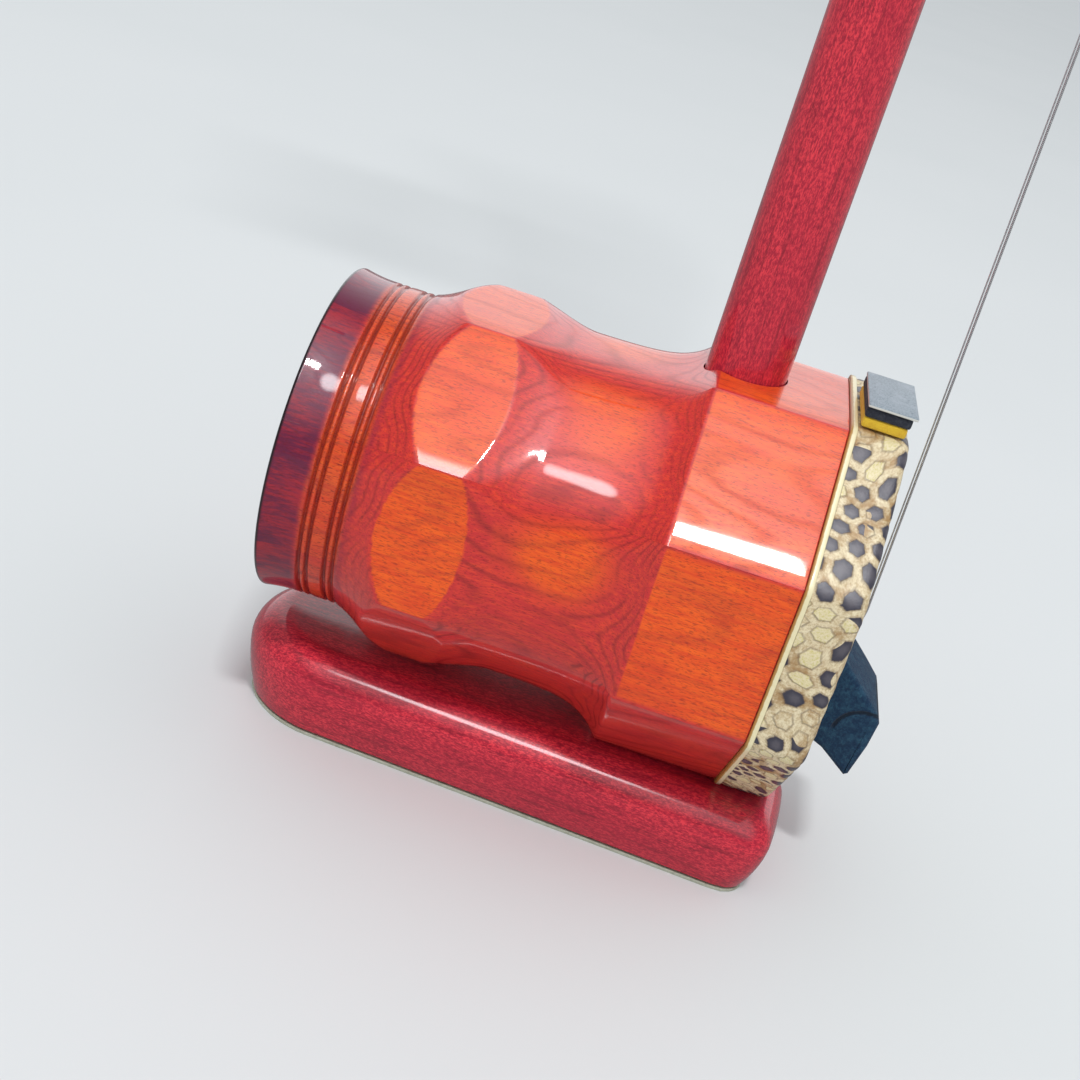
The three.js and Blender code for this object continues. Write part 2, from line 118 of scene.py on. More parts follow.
class Finish:
    def __init__(self, name, store=bpy.data.materials):
        self.material = store.new(name)
        self.material.use_nodes = True
        self.tree = self.material.node_tree
        self.tree.nodes.clear()

    def node(self, kind, settings=None, inputs=None, output=0):
        made = self.tree.nodes.new("ShaderNode" + kind)
        for key, value in (settings or {}).items():
            setattr(made, key, value)
        for key, value in (inputs or {}).items():
            if isinstance(value, Wire):
                self.tree.links.new(value.socket, made.inputs[key])
            else:
                made.inputs[key].default_value = value
        return Wire(self, made.outputs[output])

    def place(self):  # object coordinates in millimetres
        return self.stretch(self.node("TexCoord", output="Object"), (1 / mm, 1 / mm, 1 / mm))

    def stretch(self, vector, scale, shift=(0, 0, 0)):
        return self.node("Mapping", None, {"Vector": vector, "Scale": scale, "Location": shift})

    def split(self, vector):
        made = self.node("SeparateXYZ", None, {0: vector}).socket.node
        return [Wire(self, socket) for socket in made.outputs]

    def joined(self, x, y, z=0.0):
        return self.node("CombineXYZ", None, {0: x, 1: y, 2: z})

    def noise(self, vector, scale, detail=3.0, rough=0.55, distort=0.0):
        return self.node("TexNoise", None, {
            "Vector": vector, "Scale": scale, "Detail": detail, "Roughness": rough, "Distortion": distort})

    def mix(self, share, first, second, blend="MIX"):
        colours = [(*c, 1.0) if isinstance(c, tuple) else c for c in (first, second)]
        return self.node("Mix", {"data_type": "RGBA", "blend_type": blend},
                         {0: share, 6: colours[0], 7: colours[1]}, 2)

    def bump(self, height, strength, depth):
        return self.node("Bump", None, {"Height": height, "Strength": strength, "Distance": depth * mm})

    def surface(self, **values):
        shader = self.node("BsdfPrincipled", None, {
            key.replace("_", " "): (*value, 1.0) if isinstance(value, tuple) else value
            for key, value in values.items()})
        self.finished(shader)
        return self.material

    def finished(self, shader, kind="Material"):
        end = self.tree.nodes.new("ShaderNodeOutput" + kind)
        self.tree.links.new(shader.socket, end.inputs["Surface"])


def lacquer(name, grooves):
    # Figured hardwood under gloss lacquer. The grain attribute holds depth below the face, distance
    # along the box and across the stave in millimetres; tone is 0 on the flats and 1 where the
    # turning cuts across the grain and the stain sinks in. Tone also carries painted shade, which
    # deepens the staves facing down to crimson, and a painted reflection, a lighter orange patch
    # in the waist of each stave.
    look = {
        "orange": (0.94, 0.125, 0.008), "red": (0.74, 0.050, 0.010), "sunkAndShade": (0.62, 0.030, 0.030),
        "sunkStreak": (0.80, 0.058, 0.026), "line": (0.13, 0.006, 0.010),
        "black": (0.012, 0.006, 0.010), "rim": (0.14, 0.014, 0.050),
        "rimStreak": (0.38, 0.018, 0.034), "ringWidth": 1.15,
    }
    f = Finish(name)
    grain = f.node("Attribute", {"attribute_name": "grain"}, output="Vector")
    tone = f.node("Attribute", {"attribute_name": "tone"}, output="Fac")
    depth, along, across = f.split(grain)
    slow = f.noise(f.stretch(grain, (0.035, 0.010, 0.035)), 1.0, 1.0)
    mottle = f.noise(f.stretch(grain, (0.10, 0.04, 0.10)), 1.0, 4.0, 0.6)
    phase = depth / look["ringWidth"] + slow * 15.0 + mottle * 0.9
    rings = ((phase * math.tau).math("SINE") * 0.5 + 0.5).power(4.0)
    pores = f.noise(f.stretch(grain, (4.2, 0.75, 4.2)), 1.0, 3.0, 0.6).fade(0.51, 0.66)
    streaks = f.noise(f.stretch(grain, (1.3, 0.13, 1.3)), 1.0, 6.0, 0.7)
    patch = f.noise(f.stretch(grain, (0.06, 0.03, 0.06)), 1.0, 2.0)
    flat = f.mix(streaks.fade(0.35, 0.68) * 0.8, look["orange"], look["red"])
    flat = f.mix(patch.fade(0.45, 0.7) * 0.55, flat, look["red"])
    sunkAndShade = f.mix(streaks.fade(0.4, 0.7), look["sunkAndShade"], look["sunkStreak"])
    grooved = along.fade(68.5, 70.5) * (1 - along.fade(78.5, 80.5))
    # through tone this mix also paints shade on the staves facing down and a lighter reflection patch in the
    # waist
    colour = f.mix((tone * (1 - grooved * 0.75) + (patch - 0.5) * 0.9).fade(0.1, 0.9), flat, sunkAndShade)
    colour = f.mix(rings * (mottle.fade(0.3, 0.6) * (tone * 0.2 + 0.2)), colour, look["line"])
    # the rim turns a deeper red-purple: the deeper red is the wood's own and the bluish cast is a painted
    # reflection
    purple = f.mix((streaks * 0.5 + patch * 0.5).fade(0.42, 0.6), look["rim"], look["rimStreak"])
    edge = along.fade(67.0, 71.0) * (1 - grooved * 0.8)
    colour = f.mix(edge, colour, purple)
    for groove in grooves:
        sides = (along - groove).math("ABSOLUTE").fade(0.15, 0.75)
        colour = f.mix((1 - sides) * 0.6, colour, look["line"])
    colour = f.mix(pores * (grooved * 0.25 + 0.45), colour, look["line"])
    colour = f.mix(along.fade(87.1, 87.7), colour, look["black"])  # the thin line round the rim
    return f.surface(
        Base_Color=colour, Roughness=rings * 0.1 + 0.34, Normal=f.bump(pores, 0.12, 0.05),
        Coat_Weight=1.0, Coat_Roughness=0.045, Coat_IOR=1.5, Specular_IOR_Level=0.25)


def crimson(name, along):
    look = {"deep": (0.42, 0.010, 0.036), "bright": (0.86, 0.046, 0.068), "pore": (0.15, 0.005, 0.018)}
    f = Finish(name)
    place = f.place()

    def grained(fine, slow):
        return f.stretch(place, tuple(slow if axis == along else fine for axis in range(3)))

    flecks = f.noise(grained(2.4, 0.9), 1.0, 4.0, 0.75)
    pores = f.noise(grained(3.4, 0.5), 1.0, 3.0, 0.6).fade(0.56, 0.68)
    cloud = f.noise(grained(0.10, 0.015), 1.0, 3.0)
    streaks = f.noise(grained(0.9, 0.05), 1.0, 4.0, 0.65)
    colour = f.mix(flecks.fade(0.40, 0.62), look["deep"], look["bright"])
    colour = f.mix(cloud.fade(0.35, 0.7) * 0.45, colour, look["deep"])
    colour = f.mix(streaks.fade(0.48, 0.68) * 0.5, colour, look["pore"])
    colour = f.mix(pores * 0.55, colour, look["pore"])
    return f.surface(
        Base_Color=colour, Roughness=0.4, Normal=f.bump(flecks, 0.10, 0.04),
        Coat_Weight=1.0, Coat_Roughness=0.07, Specular_IOR_Level=0.25)


def scales(name):
    # The scales layer of the UV map is a flat, unrolled skin in units of one scale.
    look = {
        "ground": (0.52, 0.38, 0.19), "pale": (0.83, 0.72, 0.49), "dark": (0.050, 0.048, 0.070),
        "mid": (0.115, 0.105, 0.125), "yellow": (0.66, 0.58, 0.20), "stain": (0.36, 0.19, 0.055),
        "rim": (0.16, 0.10, 0.06),
    }
    f = Finish(name)
    skin = f.node("UVMap", {"uv_map": "scales"})
    x, y, _ = f.split(skin)
    tall = math.sqrt(3)

    def cell(shift):  # offset from the nearest point of a lattice one wide and tall high
        dx = (x + shift).math("FLOORED_MODULO", 1.0) - 0.5
        dy = (y + shift * tall).math("FLOORED_MODULO", tall) - tall / 2
        return dx, dy, dx * dx + dy * dy

    (ax, ay, aa), (bx, by, bb) = cell(0.0), cell(0.5)
    nearer = aa.math("LESS_THAN", bb)
    dx = nearer * ax + (1 - nearer) * bx
    dy = nearer * ay + (1 - nearer) * by
    wide = dx.math("ABSOLUTE")
    leaning = wide * 0.5 + dy.math("ABSOLUTE") * (tall / 2)
    reach = wide.math("MAXIMUM", leaning)  # 0 in the middle of a scale, 0.5 at its edge
    number = f.joined(((x - dx) * 2 + 0.5).math("FLOOR"), ((y - dy) / (tall / 2) + 0.5).math("FLOOR"))
    chance = f.node("TexWhiteNoise", {"noise_dimensions": "3D"}, {"Vector": number})
    fine = f.noise(skin, 11.0, 5.0, 0.75)
    soft = f.noise(skin, 3.2, 4.0, 0.7)
    area = f.noise(skin, 0.36, 1.0)
    stains = f.noise(f.stretch(skin, (1, 1, 1), (7, 3, 1)), 0.75, 5.0, 0.7)
    edge = reach + (soft - 0.5) * 0.13 + (fine - 0.5) * 0.06
    inside = 1 - edge.fade(0.30, 0.35)
    dark = (chance * 0.55 + area * 2.0).math("GREATER_THAN", 1.30)
    yellow = (chance * 0.7 + area).math("LESS_THAN", 0.74)
    colour = f.mix((fine * 0.6 + soft * 0.4).fade(0.36, 0.60), look["ground"], look["pale"])
    colour = f.mix(stains.fade(0.46, 0.64) * 0.85, colour, look["stain"])
    body = f.mix((1 - edge.fade(0.05, 0.30)) * (fine * 0.5 + 0.6), look["dark"], look["mid"])
    hatch = f.mix(fine.fade(0.35, 0.6), look["yellow"], look["pale"])
    colour = f.mix(inside * yellow * 0.85, colour, hatch)
    colour = f.mix(inside * dark, colour, body)
    outline = edge.fade(0.28, 0.33) * (1 - edge.fade(0.35, 0.41))
    colour = f.mix(outline * (soft * 0.9), colour, look["rim"])
    colour = f.mix(fine.fade(0.62, 0.72) * 0.5, colour, look["rim"])
    height = inside * 0.7 + fine * 0.5 + soft * 0.3
    return f.surface(
        Base_Color=colour, Roughness=0.50 - inside * dark * 0.14, Normal=f.bump(height, 0.6, 0.3),
        Coat_Weight=0.2, Coat_Roughness=0.3)


def binding(name):
    look = {"cream": (0.86, 0.78, 0.50), "worn": (0.70, 0.58, 0.32), "gold": (0.45, 0.24, 0.06)}
    f = Finish(name)
    along = f.split(f.place())[1]
    wear = f.noise(f.place(), 0.8, 3.0)
    gold = (along + wear * 0.3).fade(stripRear - 0.42, stripRear - 0.2)
    colour = f.mix(wear.fade(0.3, 0.8) * 0.3, look["cream"], look["worn"])
    colour = f.mix(gold, colour, look["gold"])
    return f.surface(Base_Color=colour, Roughness=0.35, Normal=f.bump(wear, 0.1, 0.05), Coat_Weight=0.4)


def fibres(name, colour, lint, grainSize=0.35, sheen=0.5, rough=0.95, fold=None):
    # Matted fibres; fold is the place and radius of a crease round the X axis, drawn as a dark line of
    # painted shade.
    f = Finish(name)
    place = f.place()
    fuzz = f.noise(place, 1 / grainSize, 5.0, 0.75, 0.6)
    tufts = f.noise(place, 0.28 / grainSize, 3.0, 0.6)
    shade = f.mix(fuzz.fade(0.42, 0.7) * 0.55 + tufts.fade(0.45, 0.7) * 0.35, colour, lint)
    if fold:
        _, y, z = f.split(place)
        y, z = y - fold[0], z - fold[1]
        line = ((y * y + z * z).math("SQRT") - fold[2]).math("ABSOLUTE") + (tufts - 0.5) * 0.5
        # painted shade: a near-black line along the crease
        crease = (1 - line.fade(0.15, 0.6)) * z.fade(-0.5, 1.5)
        shade = f.mix(crease * 0.8, shade, (0.001, 0.006, 0.018))
        fuzz = fuzz - crease * 1.5
    return f.surface(
        Base_Color=shade, Roughness=rough, Normal=f.bump(fuzz, 0.8, 0.5),
        Sheen_Weight=sheen, Sheen_Roughness=0.45)


def hide(name, colour, crease, rubbed, top, paleEdgeAndHighlight):
    # Leather whose pale cut edge shows below the height of its top face; the pale band also stands for a
    # painted highlight along that edge.
    f = Finish(name)
    place = f.place()
    pebble = f.node("TexVoronoi", {"feature": "DISTANCE_TO_EDGE"}, {"Vector": place, "Scale": 1.5})
    rub = f.noise(place, 0.25, 4.0)
    shade = f.mix(pebble.fade(0.0, 0.12), crease, colour)
    shade = f.mix(rub.fade(0.4, 0.75) * 0.35, shade, rubbed)
    # pale edge colour: the sheet's own cut edge and a painted highlight along it
    shade = f.mix(f.split(place)[2].fade(top - 0.2, top - 0.35), shade, paleEdgeAndHighlight)
    return f.surface(Base_Color=shade, Roughness=rub * 0.2 + 0.35, Normal=f.bump(pebble, 0.3, 0.08))


def plain(name, colour, shade, rough, metal=0.0, along=2, coat=0.0):
    # A polished solid with fine lines that run along one axis.
    f = Finish(name)
    place = f.place()
    lines = f.noise(f.stretch(place, tuple(0.15 if axis == along else 2.5 for axis in range(3))), 1.0, 3.0)
    cloud = f.noise(place, 0.2, 3.0)
    mixed = f.mix(lines.fade(0.4, 0.7) * 0.6 + cloud.fade(0.4, 0.7) * 0.3, colour, shade)
    return f.surface(
        Base_Color=mixed, Roughness=lines * 0.12 + rough, Normal=f.bump(lines, 0.12, 0.03),
        Metallic=metal, Coat_Weight=coat)


def wound(name, colour, pitch):
    # Flat wire wound round a core: the turns follow the tube's own UV map, in millimetres.
    f = Finish(name)
    around, along, _ = f.split(f.node("UVMap", {"uv_map": "turns"}))
    turns = ((along / pitch + around) * math.tau).math("SINE")
    # painted shade: the colour darkens between the turns of wire
    shade = f.mix(turns.fade(-1.0, 0.2), tuple(c * 0.25 for c in colour), colour)
    return f.surface(Base_Color=shade, Roughness=0.32, Metallic=0.7, Normal=f.bump(turns, 0.4, 0.04))


neckLacquer = crimson("neck_lacquer", 2)
baseLacquer = crimson("base_lacquer", 1)
snakeskin = scales("snakeskin")
stripFinish = binding("binding")
boneFinish = plain("bone", (0.80, 0.72, 0.55), (0.62, 0.50, 0.33), 0.25, along=1, coat=0.4)
headBone = plain("head_bone", (0.80, 0.72, 0.55), (0.62, 0.50, 0.33), 0.25, along=0, coat=0.4)
windowWood = plain("window_wood", (0.17, 0.022, 0.012), (0.08, 0.010, 0.007), 0.35, along=0, coat=0.6)
bridgeWood = plain("bridge_wood", (0.12, 0.055, 0.030), (0.05, 0.022, 0.014), 0.5, along=0)
brassFinish = plain("brass", (0.72, 0.50, 0.20), (0.50, 0.32, 0.12), 0.25, metal=1.0, along=0)
corkFinish = fibres("cork", (0.50, 0.52, 0.42), (0.30, 0.30, 0.22), 0.6, 0.0, 0.9)
# the damper's felt gets a painted shade line along its fold
feltFinish = fibres("navy_felt", (0.001, 0.024, 0.070), (0.030, 0.110, 0.18), 0.75, 0.04,
                    fold=(skinFront - 15.0, boxAxis - 26.4, 6.6))
guardFelt = fibres("guard_felt", (0.014, 0.018, 0.034), (0.07, 0.08, 0.10), 0.3, 0.1)
foamFinish = fibres("yellow_foam", (0.86, 0.56, 0.03), (0.70, 0.38, 0.02), 0.45, 0.1, 0.8)
leatherFinish = hide("blue_leather", (0.30, 0.36, 0.41), (0.17, 0.21, 0.25), (0.55, 0.60, 0.66),
                     span("guard_leather", 2)[1], (0.66, 0.66, 0.62))
threadFinish = fibres("red_thread", (0.22, 0.012, 0.016), (0.42, 0.06, 0.05), 0.25, 0.3, 0.7)
innerWire = wound("inner_wire", (0.74, 0.74, 0.76), 0.34)
outerWire = wound("outer_wire", (0.82, 0.82, 0.84), 0.26)
print("materials made")


# Shaping helpers
def linked(mesh, name):
    piece = bpy.data.objects.new(name, mesh)
    bpy.context.scene.collection.objects.link(piece)
    return piece


def meshOf(bm, name):
    mesh = bpy.data.meshes.new(name)
    bm.to_mesh(mesh)
    bm.free()
    return mesh


def piece(bm, name, finish, slot, nodes, body="body", sharp=32):
    bmesh.ops.scale(bm, vec=(mm, mm, mm), verts=bm.verts)
    mesh = meshOf(bm, name)
    mesh.polygons.foreach_set("use_smooth", [True] * len(mesh.polygons))
    mesh.set_sharp_from_angle(angle=math.radians(sharp))
    mesh.materials.append(finish)
    made = linked(mesh, name)
    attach(made, body)
    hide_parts(*nodes)
    return made


def carved(bm, tools):
    solids = [linked(meshOf(each, "carving"), "carving") for each in (bm, *tools)]
    for tool in solids[1:]:
        cut = solids[0].modifiers.new("cut", "BOOLEAN")
        cut.operation, cut.solver, cut.object = "DIFFERENCE", "EXACT", tool
    result = bmesh.new()
    result.from_mesh(solids[0].evaluated_get(bpy.context.evaluated_depsgraph_get()).data)
    for each in solids:
        bpy.data.meshes.remove(each.data)
    return result


def block(x0, x1, y0, y1, z0, z1):
    bm = bmesh.new()
    bmesh.ops.create_cube(bm, size=1)
    bmesh.ops.scale(bm, vec=(x1 - x0, y1 - y0, z1 - z0), verts=bm.verts)
    bmesh.ops.translate(bm, vec=((x0 + x1) / 2, (y0 + y1) / 2, (z0 + z1) / 2), verts=bm.verts)
    return bm


def outward(bm):  # all faces of a closed body point out
    bmesh.ops.recalc_face_normals(bm, faces=bm.faces)
    if bm.calc_volume(signed=True) < 0:
        bmesh.ops.reverse_faces(bm, faces=bm.faces)


def turned(profile, axis, steps=96, closed=False):
    # A profile of (radius, height) points spun about the Y or Z axis.
    bm = bmesh.new()
    points = [bm.verts.new((r, h, 0) if axis == "Y" else (r, 0, h)) for r, h in profile]
    pairs = list(zip(points, points[1:])) + ([(points[-1], points[0])] if closed else [])
    edges = [bm.edges.new(pair) for pair in pairs]
    spinAxis = (0, 1, 0) if axis == "Y" else (0, 0, 1)
    bmesh.ops.spin(bm, geom=points + edges, cent=(0, 0, 0), axis=spinAxis,
                   angle=math.tau, steps=steps, use_merge=True)
    bmesh.ops.remove_doubles(bm, verts=bm.verts, dist=1e-4)
    outward(bm)
    return bm


def lofted(rings, segments, layer=None):
    # A closed body through rings, each a function from an angle to a point.
    bm = bmesh.new()
    last = len(rings) - 1
    bmesh.ops.create_grid(bm, x_segments=segments, y_segments=last, size=1)
    if layer:
        uv = bm.loops.layers.uv.new(layer)
        for loop in (loop for face in bm.faces for loop in face.loops):
            loop[uv].uv = ((loop.vert.co.x + 1) / 2, rings[round((loop.vert.co.y + 1) / 2 * last)].along)
    for v in bm.verts:
        v.co = rings[round((v.co.y + 1) / 2 * last)]((v.co.x + 1) * math.pi)
    bmesh.ops.remove_doubles(bm, verts=bm.verts, dist=1e-4)
    bmesh.ops.holes_fill(bm, edges=bm.edges)
    outward(bm)
    return bm


def grown(bm, face, way):  # pushes a flat face out into a solid
    made = bmesh.ops.extrude_face_region(bm, geom=[face], use_keep_orig=True)["geom"]
    bmesh.ops.translate(bm, vec=way, verts=[g for g in made if isinstance(g, bmesh.types.BMVert)])


class Ring:
    # One ring of a tube: a round section square to the tube's way.
    def __init__(self, point, way, radius, along):
        self.point, self.radius, self.along = point, radius, along
        self.side = way.cross(Vector((0.3, 0.2, 1)) if abs(way.z) < 0.8 else Vector((0, 1, 0))).normalized()
        self.up = way.cross(self.side).normalized()

    def __call__(self, angle):
        return self.point + (self.side * math.cos(angle) + self.up * math.sin(angle)) * self.radius


def tube(points, radius, segments=12):
    points = [Vector(p) for p in points]
    rings, along = [], 0.0
    for i, point in enumerate(points):
        before, after = points[max(0, i - 1)], points[min(len(points) - 1, i + 1)]
        along += (point - before).length
        rings.append(Ring(point, (after - before).normalized(), radius, along))
    return lofted(rings, segments, "turns")


def rounded(radius, over):  # how far an edge of that radius has dropped at a distance past its start
    over = min(max(over, 0.0), radius)
    return radius - math.sqrt(radius * radius - over * over)


def ease(t):
    t = min(1.0, max(0.0, t))
    return t * t * (3 - 2 * t)


def blend(a, b, t):
    return a + (b - a) * t


# Sound box
box = {
    "flat": 44.2, "start": stripRear + 0.04, "coveStart": 6.0, "coveReach": 5.0,
    "waistFlat": 39.0, "waistRadius": 39.9, "waistEnd": 33.0, "ovalBow": 3.6,
    "bulgeFlat": 40.5, "bulgeRadius": 44.6,
    "bulgeMiddle": 54.0, "ringRadius": 36.7, "ringStart": 72.0, "rimStart": 80.0, "rimRadius": 37.7,
    "grooves": (70.8, 72.6, 76.6, 78.4), "grooveWidth": 1.5, "grooveDepth": 0.7, "boreFront": 36.4,
    "boreRear": 33.4, "prismSoftness": 170.0, "waistSoftness": 85.0, "ovalSoftness": 330.0, "crown": 0.34,
    "edge": 0.9, "joint": 0.012, "columns": 64, "step": 0.6,
    # the next entries set painted shade on the staves facing down and the place and size of a painted
    # reflection patch in the waist
    "lowShade": 0.85, "reflectionMiddle": 25.0, "reflectionHalf": 10.0, "reflectionWide": 0.6, "reflectionLift": 0.35,
}
box["corner"] = box["flat"] / math.cos(eighth)
boxLacquer = lacquer("box_lacquer", box["grooves"])


def flatAt(y, off):
    if y < box["coveStart"]:
        return box["flat"]
    cove = math.exp((box["coveStart"] - y) / box["coveReach"])
    facet = blend(box["waistFlat"], box["flat"], cove)
    past = max(0.0, y - box["waistEnd"] - box["ovalBow"] * off * off)  # bowed ends to the ovals
    rise = (past / 11) ** 2 * (box["bulgeFlat"] - box["waistFlat"])
    return min(facet + rise, max(box["bulgeFlat"], facet))


def turnedAt(y):
    if y < box["coveStart"]:
        return box["corner"]
    if y < box["bulgeMiddle"]:
        cove = math.exp((box["coveStart"] - y) / box["coveReach"])
        swell = ease((y - box["waistEnd"]) / (box["bulgeMiddle"] - box["waistEnd"]))
        waist = blend(box["waistRadius"], box["corner"], cove)
        return waist + swell * (box["bulgeRadius"] - box["waistRadius"])
    share = ease((y - box["bulgeMiddle"]) / (box["ringStart"] - box["bulgeMiddle"]))
    radius = blend(box["bulgeRadius"], box["ringRadius"], share)
    if y > box["rimStart"]:
        lip = (y - box["rimStart"]) / (woodRear - box["rimStart"])
        radius += (box["rimRadius"] - box["ringRadius"]) * lip ** 2
    for groove in box["grooves"]:
        off = abs(y - groove) / (box["grooveWidth"] / 2)
        if off < 1:
            radius -= box["grooveDepth"] * (0.5 + 0.5 * math.cos(off * math.pi))
    return radius


def woodRadius(angle, y):
    off = abs(angle / eighth)
    flat = flatAt(y, off) / math.cos(angle)
    flat -= box["crown"] * off ** 6  # hand planed, a little lower along the ridges
    power = blend(box["prismSoftness"], box["waistSoftness"], ease((y - box["coveStart"] + 2) / 12))
    power = -blend(power, box["ovalSoftness"], ease((y - box["waistEnd"] - 1) / 8))
    lathe = turnedAt(y)
    radius = lathe * ((flat / lathe) ** power + 1) ** (1 / power)
    return radius - rounded(box["edge"], y - woodRear + box["edge"]) - rounded(0.25, box["start"] + 0.25 - y)


def boreAt(y):
    bore = blend(box["boreFront"], box["boreRear"], ease(y / 20))
    return bore + rounded(box["edge"], y - woodRear + box["edge"])


def rowsAlong():
    rows, y = [woodFront, (woodFront + box["start"]) / 2, box["start"] - 0.02], box["start"]
    while y < woodRear - 0.01:
        rows.append(y)
        near = min(abs(y - groove) for groove in box["grooves"])
        atEdge = y > woodRear - box["edge"] - 0.1 or y < box["start"] + 0.3
        y += 0.1 if atEdge else 0.15 if near < 0.9 else box["step"]
    return rows + [woodRear]


def stave(name, turn):
    rows = rowsAlong()
    columns, last = box["columns"], len(rows) - 1
    rebate = skinFlat - 1.3  # the wood is let down under the skin and the strip
    bm = bmesh.new()
    bmesh.ops.create_grid(bm, x_segments=columns, y_segments=last, size=1)
    made = bmesh.ops.extrude_face_region(bm, geom=bm.faces[:], use_keep_orig=True)["geom"]
    bmesh.ops.translate(bm, vec=(0, 0, -1), verts=[g for g in made if isinstance(g, bmesh.types.BMVert)])
    across = Vector((-math.sin(turn), 0, math.cos(turn)))
    for v in bm.verts:
        angle, y = v.co.x * eighth, rows[round((v.co.y + 1) / 2 * last)]
        if v.co.z < -0.5:
            radius = boreAt(y)
        else:
            radius = woodRadius(angle, y) if y >= box["start"] else rebate / math.cos(angle)
        side = -box["joint"] * math.copysign(1, v.co.x) if abs(v.co.x) > 0.999 else 0.0
        v.co = Vector((radius * math.cos(turn + angle), y, radius * math.sin(turn + angle))) + across * side
    outward(bm)
    if name == "top":
        bm = carved(bm, [rodZ(neckRadius + 0.28, 20, 60)])
    if name == "bottom":
        bm = carved(bm, [rodZ(6.3, -60, -20)])
    bmesh.ops.translate(bm, vec=(0, 0, boxAxis), verts=bm.verts)
    made = piece(bm, "box_" + name, boxLacquer, "box_lacquer", ["stave_" + name], sharp=28)
    # painted shade: the staves facing down are pushed towards the deep crimson, as they lie in shade
    stain = box["lowShade"] if "lower" in name or name == "bottom" else 0.0
    made.data.attributes.new("grain", "FLOAT_VECTOR", "POINT")
    made.data.attributes.new("tone", "FLOAT", "POINT")
    grain, tone = made.data.attributes["grain"].data, made.data.attributes["tone"].data
    faceWay = Vector((math.cos(turn), 0, math.sin(turn)))
    for vertex, value, sunkAndShade in zip(made.data.vertices, grain, tone):
        spot = vertex.co / mm - Vector((0, 0, boxAxis))
        off = math.atan2(spot.dot(across), spot.dot(faceWay)) / eighth
        # a painted reflection: a soft lighter orange patch in the waist of every stave, where tone is lowered
        acrossReflection = (off + box["reflectionLift"]) / box["reflectionWide"]
        alongReflection = (spot.y - box["reflectionMiddle"]) / box["reflectionHalf"]
        worn = math.exp(-acrossReflection ** 2 - alongReflection ** 2)
        waist = ease((spot.y - box["coveStart"] + 1) / 3) * ease((42 - spot.y) / 6)
        value.vector = (spot.dot(faceWay) + turn * 37, spot.y, spot.dot(across) + turn * 91)
        cut = ease((1 - vertex.normal.dot(faceWay) - 0.0008) / 0.014)
        # tone: the cut across the grain, lowered in the waist by the painted reflection patch and raised on
        # the staves facing down by painted shade
        sunkAndShade.value = blend(cut, 1 - worn * 1.1, waist) + stain


def rodZ(radius, z0, z1, steps=96):
    return turned([(0, z0), (radius, z0), (radius, z1), (0, z1)], "Z", steps)


for index, name in enumerate(["right", "upper_right", "top", "upper_left",
                              "left", "lower_left", "bottom", "lower_right"]):
    stave(name, index * 2 * eighth)
print("sound box made")


def octagonal(bm, flat, softness):
    # Pulls a turned shape of radius flat out to a rounded octagon.
    for v in bm.verts:
        angle = math.atan2(v.co.z, v.co.x)
        off = (angle + eighth) % (2 * eighth) - eighth
        corner = flat / math.cos(eighth)
        wide = ((flat / math.cos(off)) ** -softness + corner ** -softness) ** (-1 / softness) / flat
        v.co.x *= wide
        v.co.z *= wide


skin = {"edge": 1.9, "thickness": 0.95, "scale": 5.9, "softness": 70, "relief": 0.16, "crowd": 1.7,
        "crowdStart": -20, "drift": 15, "jog": 6, "seed": 1}


def skinProfile():
    # from the middle of the front out to the edge, round it and back along the side
    flat, edge = skinFlat, skin["edge"]
    points = [(i * 0.7, skinFront) for i in range(int((flat - edge) / 0.7) + 1)]
    for i in range(9):
        angle = i * math.pi / 16
        points.append((flat - edge + edge * math.sin(angle), skinFront + edge - edge * math.cos(angle)))
    y = skinFront + edge + 0.5
    while y < skinRear:
        points.append((flat, y))
        y += 0.5
    return points + [(flat, skinRear)]


def hexReach(x, y):
    tall = math.sqrt(3)
    best = None
    for shift in (0.0, 0.5):
        dx = (x + shift) % 1 - 0.5
        dy = (y + shift * tall) % tall - tall / 2
        if best is None or dx * dx + dy * dy < best[0] ** 2 + best[1] ** 2:
            best = (dx, dy)
    wide, high = abs(best[0]), abs(best[1])
    return max(wide, wide * 0.5 + high * tall / 2)


def skinSpot(v, reach):
    # where a point lies on the unrolled skin, in scales, with the pattern drawn about a little
    angle = math.atan2(v.z, v.x)
    x, y = reach * math.cos(angle), reach * math.sin(angle)
    if y < skin["crowdStart"]:
        y = skin["crowdStart"] + (y - skin["crowdStart"]) * skin["crowd"]
    wander = noise.noise_vector(Vector((x, y, 3.0)) / skin["drift"]) * 2.6
    wander += noise.noise_vector(Vector((x, y, 9.0)) / skin["jog"]) * 0.7
    return (y + wander.y) / skin["scale"], (x + wander.x) / skin["scale"]


